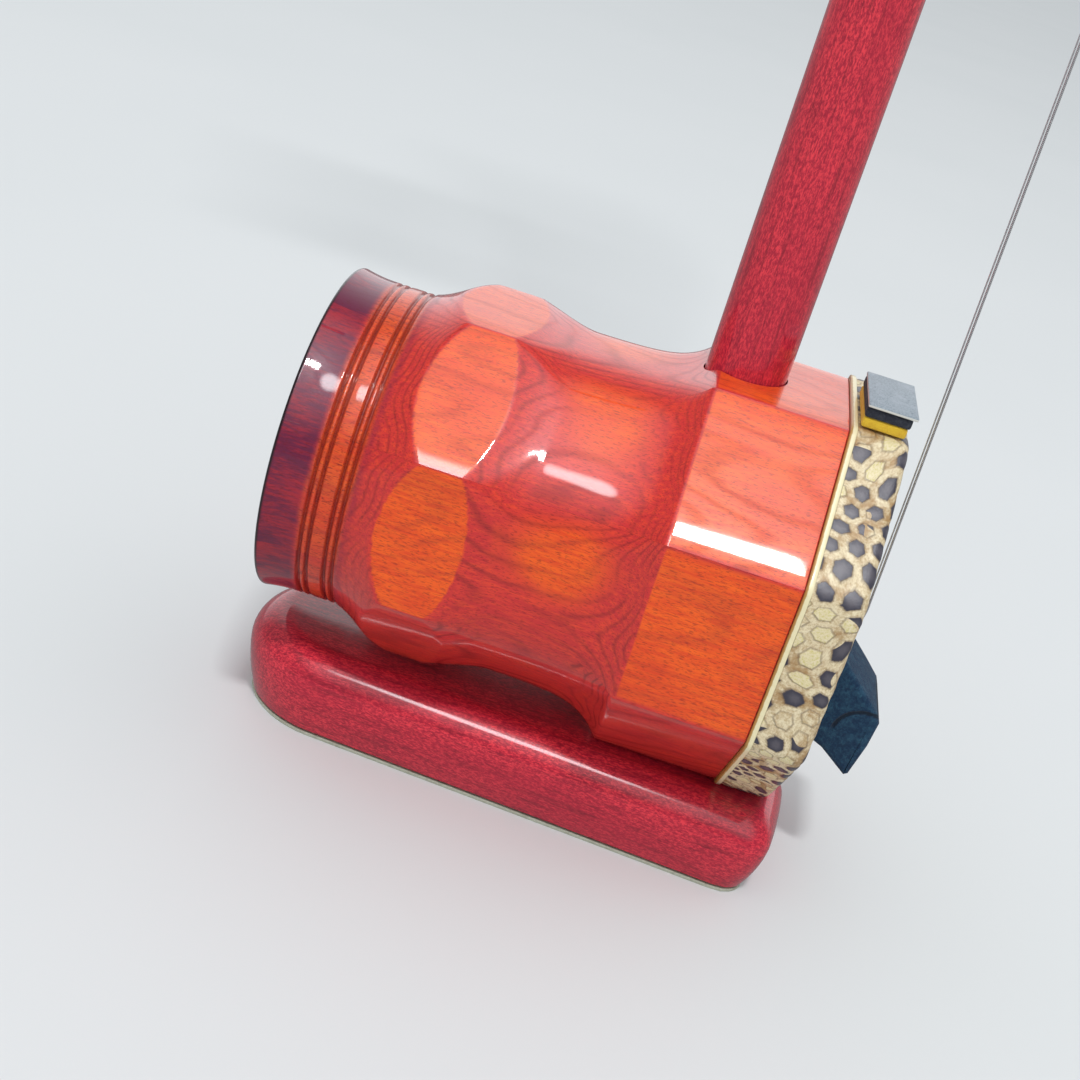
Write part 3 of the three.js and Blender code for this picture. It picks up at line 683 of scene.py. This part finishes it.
def makeSkin():
    profile = skinProfile()
    bm = turned(profile, "Y", 208)
    octagonal(bm, skinFlat, skin["softness"])
    path = {}
    travelled = 0.0
    for before, point in zip([profile[0]] + profile, profile):
        travelled += math.dist(before, point)
        path[(round(point[0], 2), round(point[1], 2))] = travelled
    uv = bm.loops.layers.uv.new("scales")
    spots = {}
    noise.seed_set(skin["seed"])  # the same scales each run
    for v in bm.verts:
        angle = math.atan2(v.co.z, v.co.x)
        off = (angle + eighth) % (2 * eighth) - eighth
        corner = skinFlat / math.cos(eighth)
        power = skin["softness"]
        wide = ((skinFlat / math.cos(off)) ** -power + corner ** -power) ** (-1 / power) / skinFlat
        radius = math.hypot(v.co.x, v.co.z) / wide
        reach = path.get((round(radius, 2), round(v.co.y, 2)))
        if reach is None:
            reach = min(path.items(), key=lambda item: math.dist(item[0], (radius, v.co.y)))[1]
        spots[v] = skinSpot(v.co, reach * wide)
    for face in bm.faces:
        for loop in face.loops:
            loop[uv].uv = spots[loop.vert]
    for v in bm.verts:
        x, y = spots[v]
        proud = 1 - ease((hexReach(x, y) - 0.3) / 0.15)
        v.co -= v.normal * skin["relief"] * (1 - proud)
    bmesh.ops.solidify(bm, geom=bm.faces[:], thickness=skin["thickness"])
    outward(bm)
    bmesh.ops.translate(bm, vec=(0, 0, boxAxis), verts=bm.verts)
    piece(bm, "snakeskin_cover", snakeskin, "snakeskin", ["snakeskin"], sharp=50)


makeSkin()


def makeStrip():
    # a binding between the skin and the wood
    flat, inner, soft = stripFlat, skinFlat - 1, 0.3
    front, rear = skinRear + 0.03, stripRear
    near = soft * 0.3
    profile = [(inner, front), (flat - soft, front), (flat - near, front + near), (flat, front + soft),
               (flat, rear - soft), (flat - near, rear - near), (flat - soft, rear), (inner, rear)]
    bm = turned(profile, "Y", 208, closed=True)
    octagonal(bm, flat, 90)
    bmesh.ops.translate(bm, vec=(0, 0, boxAxis), verts=bm.verts)
    piece(bm, "binding_strip", stripFinish, "edge_strip", ["edge_strip"])


makeStrip()
print("skin and strip made")


# Sound window
def makeWindow():
    window = {"bars": 8, "bar": 2.2, "rings": ((7.5, 15.6), (18.2, 30.0)), "hub": 4.6,
              "drop": (0.62, 0.72), "soft": 0.5}
    front, rear = span("sound_window", 1)
    outer, soft = span("sound_window", 0)[1], window["soft"]
    plate = turned([(0, front), (outer, front), (outer, rear - soft), (outer - soft, rear),
                    (0, rear)], "Y", 128)
    tools = [turned([(0, front - 1), (window["hub"] / 2, front - 1), (window["hub"] / 2, rear + 1),
                     (0, rear + 1)], "Y", 32)]
    for ring, (inside, outside) in enumerate(window["rings"]):
        for i in range(window["bars"]):
            middle, length = (inside + outside) / 2, (outside - inside) / 2
            room = middle * math.pi / window["bars"] - window["bar"] / 2
            width = min(length * window["drop"][ring], room)
            tool = turned([(0, front - 1), (1, front - 1), (1, rear + 1), (0, rear + 1)], "Y", 40)
            for v in tool.verts:  # a drop, pointed towards the middle
                v.co.x *= width * (1.0 + 0.35 * v.co.z)
                v.co.z = v.co.z * length + middle
            turn = Matrix.Rotation((i + 0.5 * ring) * math.tau / window["bars"], 3, "Y")
            bmesh.ops.rotate(tool, cent=(0, 0, 0), matrix=turn, verts=tool.verts)
            tools.append(tool)
    bm = carved(plate, tools)
    bmesh.ops.translate(bm, vec=(0, 0, boxAxis), verts=bm.verts)
    made = piece(bm, "rear_window", windowWood, "window", ["sound_window"])
    soften = made.modifiers.new("soften", "BEVEL")
    soften.width, soften.segments, soften.limit_method = 0.35 * mm, 2, "ANGLE"
    soften.angle_limit = math.radians(50)


makeWindow()
print("window made")


# Neck and head
pegs = {name: {"height": sum(span(name + "_peg", 2)) / 2, "tip": span(name + "_peg", 1)[0]}
        for name in ("upper", "lower")}
pegShape = {
    "thick": 5.4, "thin": 3.9, "front": -neckRadius - 14.5, "back": neckRadius + 2.5, "handle": 112.0,
    "wide": 11.2, "flutes": 12, "fluteDepth": 0.075,
    "collar": ((0, 0), (1.9, 0.4), (2.6, 1.6), (2.6, 4.6), (2.1, 5.8), (1.1, 7)),
}


def pegRadiusAt(y):
    share = (y - pegShape["front"]) / (pegShape["back"] - pegShape["front"])
    return blend(pegShape["thin"], pegShape["thick"], share)


def makeNeck():
    neck = {"tenon": 6.0, "shoulder": boxAxis - box["boreRear"] + 0.5, "chamfer": 0.5, "play": 0.2}
    radius, soft = neckRadius, neck["chamfer"]
    profile = [(0, neckFoot), (neck["tenon"] - soft, neckFoot), (neck["tenon"], neckFoot + soft),
               (neck["tenon"], neck["shoulder"]), (radius, neck["shoulder"]), (radius, neckTop), (0, neckTop)]
    holes = []
    for peg in pegs.values():
        reach = neckRadius + 2
        cone = [(0, -reach), (pegRadiusAt(-reach) + neck["play"], -reach),
                (pegRadiusAt(reach) + neck["play"], reach), (0, reach)]
        hole = turned(cone, "Y", 48)
        bmesh.ops.translate(hole, vec=(0, 0, peg["height"]), verts=hole.verts)
        holes.append(hole)
    holes.append(rodZ(2.2, neckFoot - 1, neckFoot + 12.3, 32))
    bm = carved(turned(profile, "Z", 128), holes)
    piece(bm, "neck_pole", neckLacquer, "dark_lacquer", ["neck"])


makeNeck()


def makeHead():
    head = {"sections": 40, "corner": 2.6, "round": 2.0}
    foot, top = neckTop + 0.02, span("head", 2)[1]
    rise, back = top - foot, span("head", 1)[1]
    front = [Vector((-neckRadius, foot)), Vector((-neckRadius - 1, foot + rise * 0.55)),
             Vector((4, top - 1)), Vector((back - 14, top))]
    rear = [Vector((neckRadius, foot)), Vector((neckRadius + 1, foot + rise * 0.5)),
            Vector((back - 20, top - 22)), Vector((back, top - 17))]

    def along(curve, t):
        u = 1 - t
        return curve[0] * u ** 3 + curve[1] * 3 * u * u * t + curve[2] * 3 * u * t * t + curve[3] * t ** 3

    def section(t, shrink):
        a, b = along(front, t), along(rear, t)
        middle, half = (a + b) / 2, (b - a) / 2
        power = head["round"] + head["corner"] * ease(t * 1.3)  # round at the neck, squarer at the tip
        deep = half.normalized() * (half.length - shrink)
        wide = neckRadius - 0.6 * t - shrink

        def ring(angle):
            c, s = math.cos(angle), math.sin(angle)
            size = (abs(c) ** power + abs(s) ** power) ** (-1 / power)
            flat = middle + deep * s * size
            return Vector((wide * c * size, flat.x, flat.y))
        return ring

    rings = [section(i / head["sections"] * 0.985, 0) for i in range(head["sections"])]
    rings += [section(0.985 + 0.015 * math.sin(i * math.pi / 8), 1.2 * (1 - math.cos(i * math.pi / 8)))
              for i in range(5)]
    bm = lofted(rings, 96)
    piece(bm, "head_scroll", neckLacquer, "dark_lacquer", ["head"], sharp=40)

    # a bone plate let on to the end of the head
    (x0, x1), (y0, y1), (z0, z1) = (span("head_cap", axis) for axis in range(3))
    tilt = -math.atan2(17, 14)
    cap = block(x0, x1, -8, 8, 0, 1.9)
    corners = [e for e in cap.edges if abs(e.verts[0].co.z - e.verts[1].co.z) > 0.5]
    bmesh.ops.bevel(cap, geom=corners, offset=3.5, affect="EDGES", segments=8, profile=0.5, material=-1)
    upper = [e for e in cap.edges if min(v.co.z for v in e.verts) > 1.5]
    bmesh.ops.bevel(cap, geom=upper, offset=0.9, affect="EDGES", segments=5, profile=0.5, material=-1)
    bmesh.ops.rotate(cap, cent=(0, 0, 0), matrix=Matrix.Rotation(tilt, 3, "X"), verts=cap.verts)
    middle = Vector(((x0 + x1) / 2, (y0 + y1) / 2, (z0 + z1) / 2))
    low, high = (Vector([pick(v.co[axis] for v in cap.verts) for axis in range(3)]) for pick in (min, max))
    bmesh.ops.translate(cap, vec=middle - (low + high) / 2, verts=cap.verts)
    piece(cap, "head_inlay", headBone, "bone", ["head_cap"], sharp=45)


makeHead()
print("neck and head made")


# Pegs
def makePeg(name, peg):
    shape = pegShape
    end = shape["back"] + shape["handle"]
    collar = [(shape["thick"] + out, shape["back"] + on) for out, on in shape["collar"]]

    def handleRadius(t):
        return blend(shape["thick"] + 1.1, shape["wide"], 1 - (1 - t) ** 1.9) - 1.6 * ease((t - 0.93) / 0.07)

    rings = []

    def ringAt(radius, y, flute=0.0):
        def ring(angle):
            dip = abs(math.cos(angle * shape["flutes"] / 2))
            r = radius * (1 - shape["fluteDepth"] * flute * (1 - dip) ** 1.5)
            return Vector((r * math.cos(angle), y, r * math.sin(angle)))
        rings.append(ring)

    ringAt(peg["tipRadius"] - 0.5, peg["tip"])
    ringAt(peg["tipRadius"], peg["tip"] + 0.5)
    for i in range(1, 9):
        y = blend(peg["tip"] + 0.5, shape["back"], i / 8)
        ringAt(pegRadiusAt(y), y)
    for radius, y in collar:
        ringAt(radius, y)
    start = shape["back"] + 7
    for i in range(1, 61):
        t = i / 60
        ringAt(handleRadius(t), blend(start, end, t), ease(t * 6) * ease((1 - t) * 14))
    bm = lofted(rings, 144)
    bmesh.ops.translate(bm, vec=(0, 0, peg["height"]), verts=bm.verts)
    piece(bm, name + "_peg_fluted", baseLacquer, "dark_lacquer", [name + "_peg"], name + "_peg", sharp=38)
    wide = span(name + "_peg_cap", 0)[1]
    tail = span(name + "_peg_cap", 1)[1]
    button = [(0, end + 0.1), (wide - 0.4, end + 0.1), (wide, end + 0.6), (wide - 0.2, end + 1.5),
              (wide - 1.2, end + 2.2), (wide * 0.62, end + 2.7), (wide * 0.42, end + 3.5),
              (wide * 0.2, tail - 0.15), (0, tail)]
    bm = turned(button, "Y", 64)
    bmesh.ops.translate(bm, vec=(0, 0, peg["height"]), verts=bm.verts)
    piece(bm, name + "_peg_button", boneFinish, "bone", [name + "_peg_cap"], name + "_peg", sharp=50)


strings = {
    "inner": {"side": -1, "peg": "upper", "radius": 0.26, "wire": innerWire},
    "outer": {"side": 1, "peg": "lower", "radius": 0.18, "wire": outerWire},
}
loopReach = 31.0  # from the neck's axis to where the strings pass the thread
for name, peg in pegs.items():
    peg["tipRadius"] = pegRadiusAt(peg["tip"])
    makePeg(name, peg)


def makeWinding(name, string):
    # the turns of string on the peg, side by side from its thin end
    front, rear = span(name + "_winding", 1)
    outer = span(name + "_winding", 0)[1]
    radius = string["radius"]
    turns = (rear - front - 2 * radius) / (2.15 * radius)
    count = int(turns * 36)
    points = []
    for i in range(count + 1):
        share = i / count
        angle = share * turns * math.tau
        y = blend(front + radius, rear - radius, share)
        reach = min(pegRadiusAt(y) + radius + 0.05, outer - radius)
        points.append((reach * math.cos(angle), y, reach * math.sin(angle) + pegs[name]["height"]))
    piece(tube(points, radius, 10), name + "_string_turns", string["wire"], "steel_string",
          [name + "_winding"], name + "_peg", sharp=60)


def stringPoints(name, string):
    # from the peg over the thread, the bridge and the skin's lower edge to the hook
    side, radius = string["side"], string["radius"]
    peg = pegs[string["peg"]]
    winding = span(string["peg"] + "_winding", 1)
    out = span(string["peg"] + "_winding", 0)[1]
    thread = sum(span("qianjin", 2)) / 2
    stringY = bridgeTop - 0.3 - strings["inner"]["radius"]
    hookY, hookZ = sum(span("string_hook", 1)) / 2, sum(span("string_hook", 2)) / 2
    hookRadius = span("string_hook", 1)[1] - hookY
    edgeY, edgeZ = skinFront - 0.3 - radius, boxAxis - skinFlat + 0.5
    near, apart, around = side * 1.6, side * 2, hookRadius + 0.12 + radius
    points = [Vector((side * (out + 0.25), sum(winding) / 2, peg["height"])),
              Vector((near, -loopReach, thread)), Vector((apart, stringY, boxAxis)),
              Vector((apart, edgeY, edgeZ)),
              Vector((near, hookY - around, hookZ + 1))]
    for i in range(1, 13):
        turn = math.pi + i * math.pi / 12
        points.append(Vector((near, hookY + around * math.cos(turn), hookZ + around * math.sin(turn))))
    return points


def softened(points, reach):
    # rounds a route's corners so that the wire bends and doesn't fold
    made = [points[0]]
    for before, point, after in zip(points, points[1:], points[2:]):
        back = min(reach, (point - before).length * 0.45)
        on = min(reach, (after - point).length * 0.45)
        start, end = point + (before - point).normalized() * back, point + (after - point).normalized() * on
        for i in range(5):
            t = i / 4
            made.append(start * (1 - t) ** 2 + point * 2 * t * (1 - t) + end * t * t)
    return made + [points[-1]]


for name, string in strings.items():
    makeWinding(string["peg"], string)
    bm = tube(softened(stringPoints(name, string), 1.2), string["radius"], 12)
    piece(bm, name + "_wire", string["wire"], "steel_string", [name + "_string"], sharp=60)
print("pegs and strings made")


# Thread loop round the neck and the strings
def makeThread():
    loop = {"turns": 8, "radius": 0.42, "reach": loopReach, "front": 2.7, "gap": 0.3}
    low, high = span("qianjin", 2)
    back = neckRadius + loop["gap"] + loop["radius"]
    front = loop["front"] + loop["radius"]
    lean = math.asin((back - front) / loop["reach"])
    outline = []
    for i in range(33):
        angle = blend(-lean, math.pi + lean, i / 32)
        outline.append((back * math.cos(angle), back * math.sin(angle)))
    for i in range(17):
        angle = blend(math.pi + lean, math.tau - lean, i / 16)
        outline.append((front * math.cos(angle), front * math.sin(angle) - loop["reach"]))
    points = []
    total = loop["turns"] * len(outline)
    for i in range(total):
        x, y = outline[i % len(outline)]
        points.append((x, y, blend(low + 0.5, high - 0.5, i / (total - 1))))
    piece(tube(points, loop["radius"], 8), "thread_turns", threadFinish, "thread", ["qianjin"],
          "qianjin", sharp=60)


makeThread()


# Bridge
def makeBridge():
    bridge = {"soft": 0.5, "taper": 0.16}
    (x0, x1), (y0, y1), (z0, z1) = (span("bridge", axis) for axis in range(3))
    tall, wide = y1 - y0, x1
    half = [(0, wide), (1.3, wide - 0.3), (tall * 0.45, wide * 0.72), (tall * 0.8, wide * 0.42), (tall, 4.2)]
    arch = [(0, 8.5), (1.5, 6.6), (2.7, 3.4), (2.7, -3.4), (1.5, -6.6), (0, -8.5)]
    outline = [(-x, h) for h, x in half] + [(x, h) for h, x in reversed(half)] + [(x, h) for h, x in arch]
    bm = bmesh.new()
    inset = 0.3
    face = bm.faces.new([bm.verts.new((x, y1 - h, z0 + inset)) for x, h in outline])
    grown(bm, face, (0, 0, z1 - z0 - 2 * inset))
    lean = (z1 - z0) * bridge["taper"]
    for v in bm.verts:  # thinner towards the strings
        share = (y1 - v.co.y) / tall
        v.co.z += (-1 if v.co.z > (z0 + z1) / 2 else 1) * share * lean
    outward(bm)
    bmesh.ops.bevel(bm, geom=bm.edges[:], offset=bridge["soft"], affect="EDGES", segments=3, profile=0.5,
                    material=-1)
    piece(bm, "bridge_block", bridgeWood, "bridge_wood", ["bridge"])


makeBridge()


# Felt damper
def makeDamper():
    damper = {
        "half": 10.8, "soft": 1.3,
        "outline": ((0.1, -6.0), (2.6, -5.6), (4.4, -8.4), (8.4, -12.0), (13.0, -16.2), (16.8, -19.9),
                    (17.7, -21.8), (17.2, -28.0), (15.6, -36.2), (14.6, -36.9), (7.6, -31.9), (0.1, -28.8)),
    }
    bm = bmesh.new()
    back = skinFront - 0.3
    rim = [bm.verts.new((-damper["half"], back - out, boxAxis + up)) for out, up in damper["outline"]]
    grown(bm, bm.faces.new(rim), (2 * damper["half"], 0, 0))
    outward(bm)
    ends = [e for e in bm.edges if abs(e.verts[0].co.x - e.verts[1].co.x) < 1]
    bmesh.ops.bevel(bm, geom=ends, offset=damper["soft"], affect="EDGES", segments=3, profile=0.5,
                    material=-1)
    made = piece(bm, "felt_damper", feltFinish, "felt", ["damper"], sharp=70)


makeDamper()


# Bow guard
def makeGuard():
    guard = {
        "ribbon": {"finish": foamFinish, "slot": "ribbon", "front": 2.0, "left": 1.2, "swell": 0.25,
                   "round": 0.5},
        "felt": {"finish": guardFelt, "slot": "felt", "front": 1.7, "left": 0.9, "swell": 0.25,
                 "round": 0.5},
        "leather": {"finish": leatherFinish, "slot": "guard_leather", "front": 0.9, "left": 0.4, "swell": 0.0,
                    "round": 0.22},
    }
    for name, layer in guard.items():
        node = "guard_" + name
        (x0, x1), (y0, y1), (z0, z1) = (span(node, axis) for axis in range(3))
        bm = block(x0 + layer["left"], x1, y0 + layer["front"], y1, z0, z1 + layer["swell"])
        bmesh.ops.bevel(bm, geom=bm.edges[:], offset=layer["round"], affect="EDGES", segments=3, profile=0.5,
                        material=-1)
        made = piece(bm, "guard_layer_" + name, layer["finish"], layer["slot"], [node], sharp=50)


makeGuard()
print("bridge, damper and guard made")


# Base
base = {
    "front": span("base", 1)[0], "rear": span("base", 1)[1], "frontWidth": 31.0, "rearWidth": 24.0,
    "bow": 3.0, "corner": 5.5, "shoulder": 8.0, "shoulderShare": 0.4, "tuck": 2.6, "segments": 240,
}


def baseReach(angle, inset):
    # Plan of the base in polar form about its middle: straight sides, a round rear and a bowed front.
    front, rear = base["front"], base["rear"]
    middle = (front + rear) / 2
    wide, narrow = base["frontWidth"] - inset, base["rearWidth"] - inset
    c, s = math.cos(angle), math.sin(angle)
    low, high = 0.0, 100.0
    for _ in range(26):
        reach = (low + high) / 2
        x, y = abs(reach * c), middle + reach * s
        turn = rear - base["rearWidth"]
        side = blend(wide, narrow, (y - front) / (turn - front))
        inside = x < side if y < turn else math.hypot(x, y - turn) < narrow
        nose = front + inset + base["bow"] * (x / wide) ** 2
        corner = base["corner"]
        if y < nose + corner and x > side - corner:
            inside = math.hypot(x - side + corner, y - nose - corner) < corner
        elif y < nose:
            inside = False
        low, high = (reach, high) if inside else (low, reach)
    return Vector((low * c, middle + low * s, 0))


def baseInset(share):
    shoulder = base["shoulderShare"]
    if share < 1 - shoulder:
        return base["tuck"] * (1 - share / (1 - shoulder)) ** 1.6
    up = (share - 1 + shoulder) / shoulder
    return base["shoulder"] * (1 - math.sqrt(max(0.0, 1 - up * up)))


def makeBase():
    bottom, top = span("base", 2)
    shares = [0, 0.02, 0.06, 0.12, 0.2, 0.3, 0.4, 0.5, 0.6]
    shares += [0.6 + 0.4 * math.sin(i * math.pi / 32) for i in range(1, 17)]
    step = boxAxis - stripFlat - 0.1  # the skin and strip stand in a shallow step

    def ringAt(share):
        inset, z = baseInset(share) + (0.5 if share == 0 else 0), blend(bottom, top, share)

        def ring(angle):
            spot = baseReach(angle, inset)
            drop = ease((woodFront + 11.6 - spot.y) / 0.4)
            return Vector((spot.x, spot.y, blend(z, min(z, step), drop)))
        return ring

    bm = lofted([ringAt(share) for share in shares], base["segments"])
    hookY, hookZ = sum(span("string_hook", 1)) / 2, sum(span("string_hook", 2)) / 2
    tools = [block(-4.4, 4.4, -80, hookY + 5, hookZ - 5.5, 40), rodZ(6.3, neckFoot - 0.3, 40, 64),
             rodZ(2.3, -1, 20, 32), rodZ(4.8, -1, bottom + 3.3, 48)]
    rod = turned([(0, -8.6), (1.8, -8.6), (1.8, 8.6), (0, 8.6)], "Z", 32)
    bmesh.ops.rotate(rod, cent=(0, 0, 0), matrix=Matrix.Rotation(math.pi / 2, 3, "Y"), verts=rod.verts)
    bmesh.ops.translate(rod, vec=(0, hookY, hookZ), verts=rod.verts)
    bm = carved(bm, tools + [rod])
    piece(bm, "foot_block", baseLacquer, "dark_lacquer", ["base"], sharp=35)

    low, high = span("base_pad", 2)
    soles = [low, low + 0.12, high - 0.12, high]
    insets = [base["tuck"] + 0.12, base["tuck"], base["tuck"], base["tuck"] + 0.12]
    rings = [lambda angle, inset=inset, z=z: baseReach(angle, inset) + Vector((0, 0, z))
             for inset, z in zip(insets, soles)]
    piece(lofted(rings, base["segments"]), "cork_sole", corkFinish, "cork", ["base_pad"])

    low, high = span("base_screw", 2)
    head = span("base_screw", 0)[1]
    screw = [(0, low + 0.8), (1.2, low + 0.8), (1.6, low), (head - 0.4, low), (head, low + 0.5),
             (head, low + 0.9), (2, low + 2)]
    threads = [(2.0 if i % 2 else 1.6, low + 2.6 + i * 0.4) for i in range(int((high - low - 4) / 0.4))]
    bm = turned(screw + threads + [(1.0, high - 0.6), (0, high)], "Z", 40)
    piece(bm, "sole_screw", brassFinish, "brass", ["base_screw"])

    x0, x1 = span("string_hook", 0)
    radius = span("string_hook", 1)[1] - hookY
    pin = [(0, x0), (radius - 0.3, x0), (radius, x0 + 0.3), (radius, x1 - 0.3), (radius - 0.3, x1), (0, x1)]
    bm = turned(pin, "Z", 40)
    bmesh.ops.rotate(bm, cent=(0, 0, 0), matrix=Matrix.Rotation(math.pi / 2, 3, "Y"), verts=bm.verts)
    bmesh.ops.translate(bm, vec=(0, hookY, hookZ), verts=bm.verts)
    piece(bm, "hook_pin", brassFinish, "brass", ["string_hook"])


makeBase()
print("base made")


# Floor and light
studio = {
    "lamp": (-1.41, -0.20, 2.79), "lampSize": (0.34, 0.22), "lampPower": 36.0,
    "gleam": (-0.57, 0.125, 0.81),
    "backdrop": (0.74, 0.76, 0.775), "fill": 0.80 / 0.76,
}


def makeFloor():
    # Reflections see a dimmer floor than the eye does, which keeps the lacquer's colour deep.
    f = Finish("pale_floor")
    cloud = f.noise(f.place(), 0.004, 2.0)
    colour = f.mix(cloud, (0.69, 0.715, 0.725), (0.72, 0.74, 0.75))
    matt = f.node("BsdfDiffuse", None, {"Color": colour})
    dim = f.node("Emission", None, {"Color": (0.26, 0.25, 0.26, 1), "Strength": 1.0})
    glossy = f.node("LightPath", output="Is Glossy Ray")
    f.finished(f.node("MixShader", None, {0: glossy, 1: matt, 2: dim}))
    bm = bmesh.new()
    bmesh.ops.create_circle(bm, cap_ends=True, segments=96, radius=8)
    floor = linked(meshOf(bm, "floor"), "floor")
    floor.data.materials.append(f.material)


def makeWorld():
    # An even pale room; in reflections a bright ceiling, a bright far wall and a dark near side.
    f = Finish("studio", bpy.data.worlds)
    way = f.node("TexCoord", output="Generated")
    lamp = (Vector(studio["lamp"]) - Vector((0, 0, 0.08))).normalized()
    towards = f.node("VectorMath", {"operation": "DOT_PRODUCT"}, {0: way, 1: lamp}, "Value")
    gleam = Vector(studio["gleam"]).normalized()
    beside = f.node("VectorMath", {"operation": "DOT_PRODUCT"}, {0: way, 1: gleam}, "Value")
    level = towards.fade(0.62, 1.0) * 1.25 + beside.fade(0.9915, 0.9985) * 13.0
    level = level + f.split(way)[0].fade(0.35, 0.9) + 0.10
    mirror = f.node("Background", None, {"Color": (0.95, 0.97, 1.0, 1), "Strength": level})
    even = f.node("Background", None, {"Color": (*studio["backdrop"], 1), "Strength": studio["fill"]})
    seen = f.node("Background", None, {"Color": (*studio["backdrop"], 1), "Strength": 1.0})
    glossy = f.node("LightPath", output="Is Glossy Ray")
    camera = f.node("LightPath", output="Is Camera Ray")
    soft = f.node("MixShader", None, {0: camera, 1: even, 2: seen})
    f.finished(f.node("MixShader", None, {0: glossy, 1: soft, 2: mirror}), "World")
    bpy.context.scene.world = f.material


def makeLamp():
    data = bpy.data.lights.new("lamp", "AREA")
    data.shape, data.energy = "RECTANGLE", studio["lampPower"]
    data.size, data.size_y = studio["lampSize"]
    lamp = bpy.data.objects.new("lamp", data)
    lamp.location = studio["lamp"]
    lamp.rotation_euler = (Vector((0, 0.02, 0.08)) - lamp.location).to_track_quat("-Z", "Y").to_euler()
    bpy.context.scene.collection.objects.link(lamp)


makeFloor()
makeWorld()
makeLamp()
print("floor and light made")
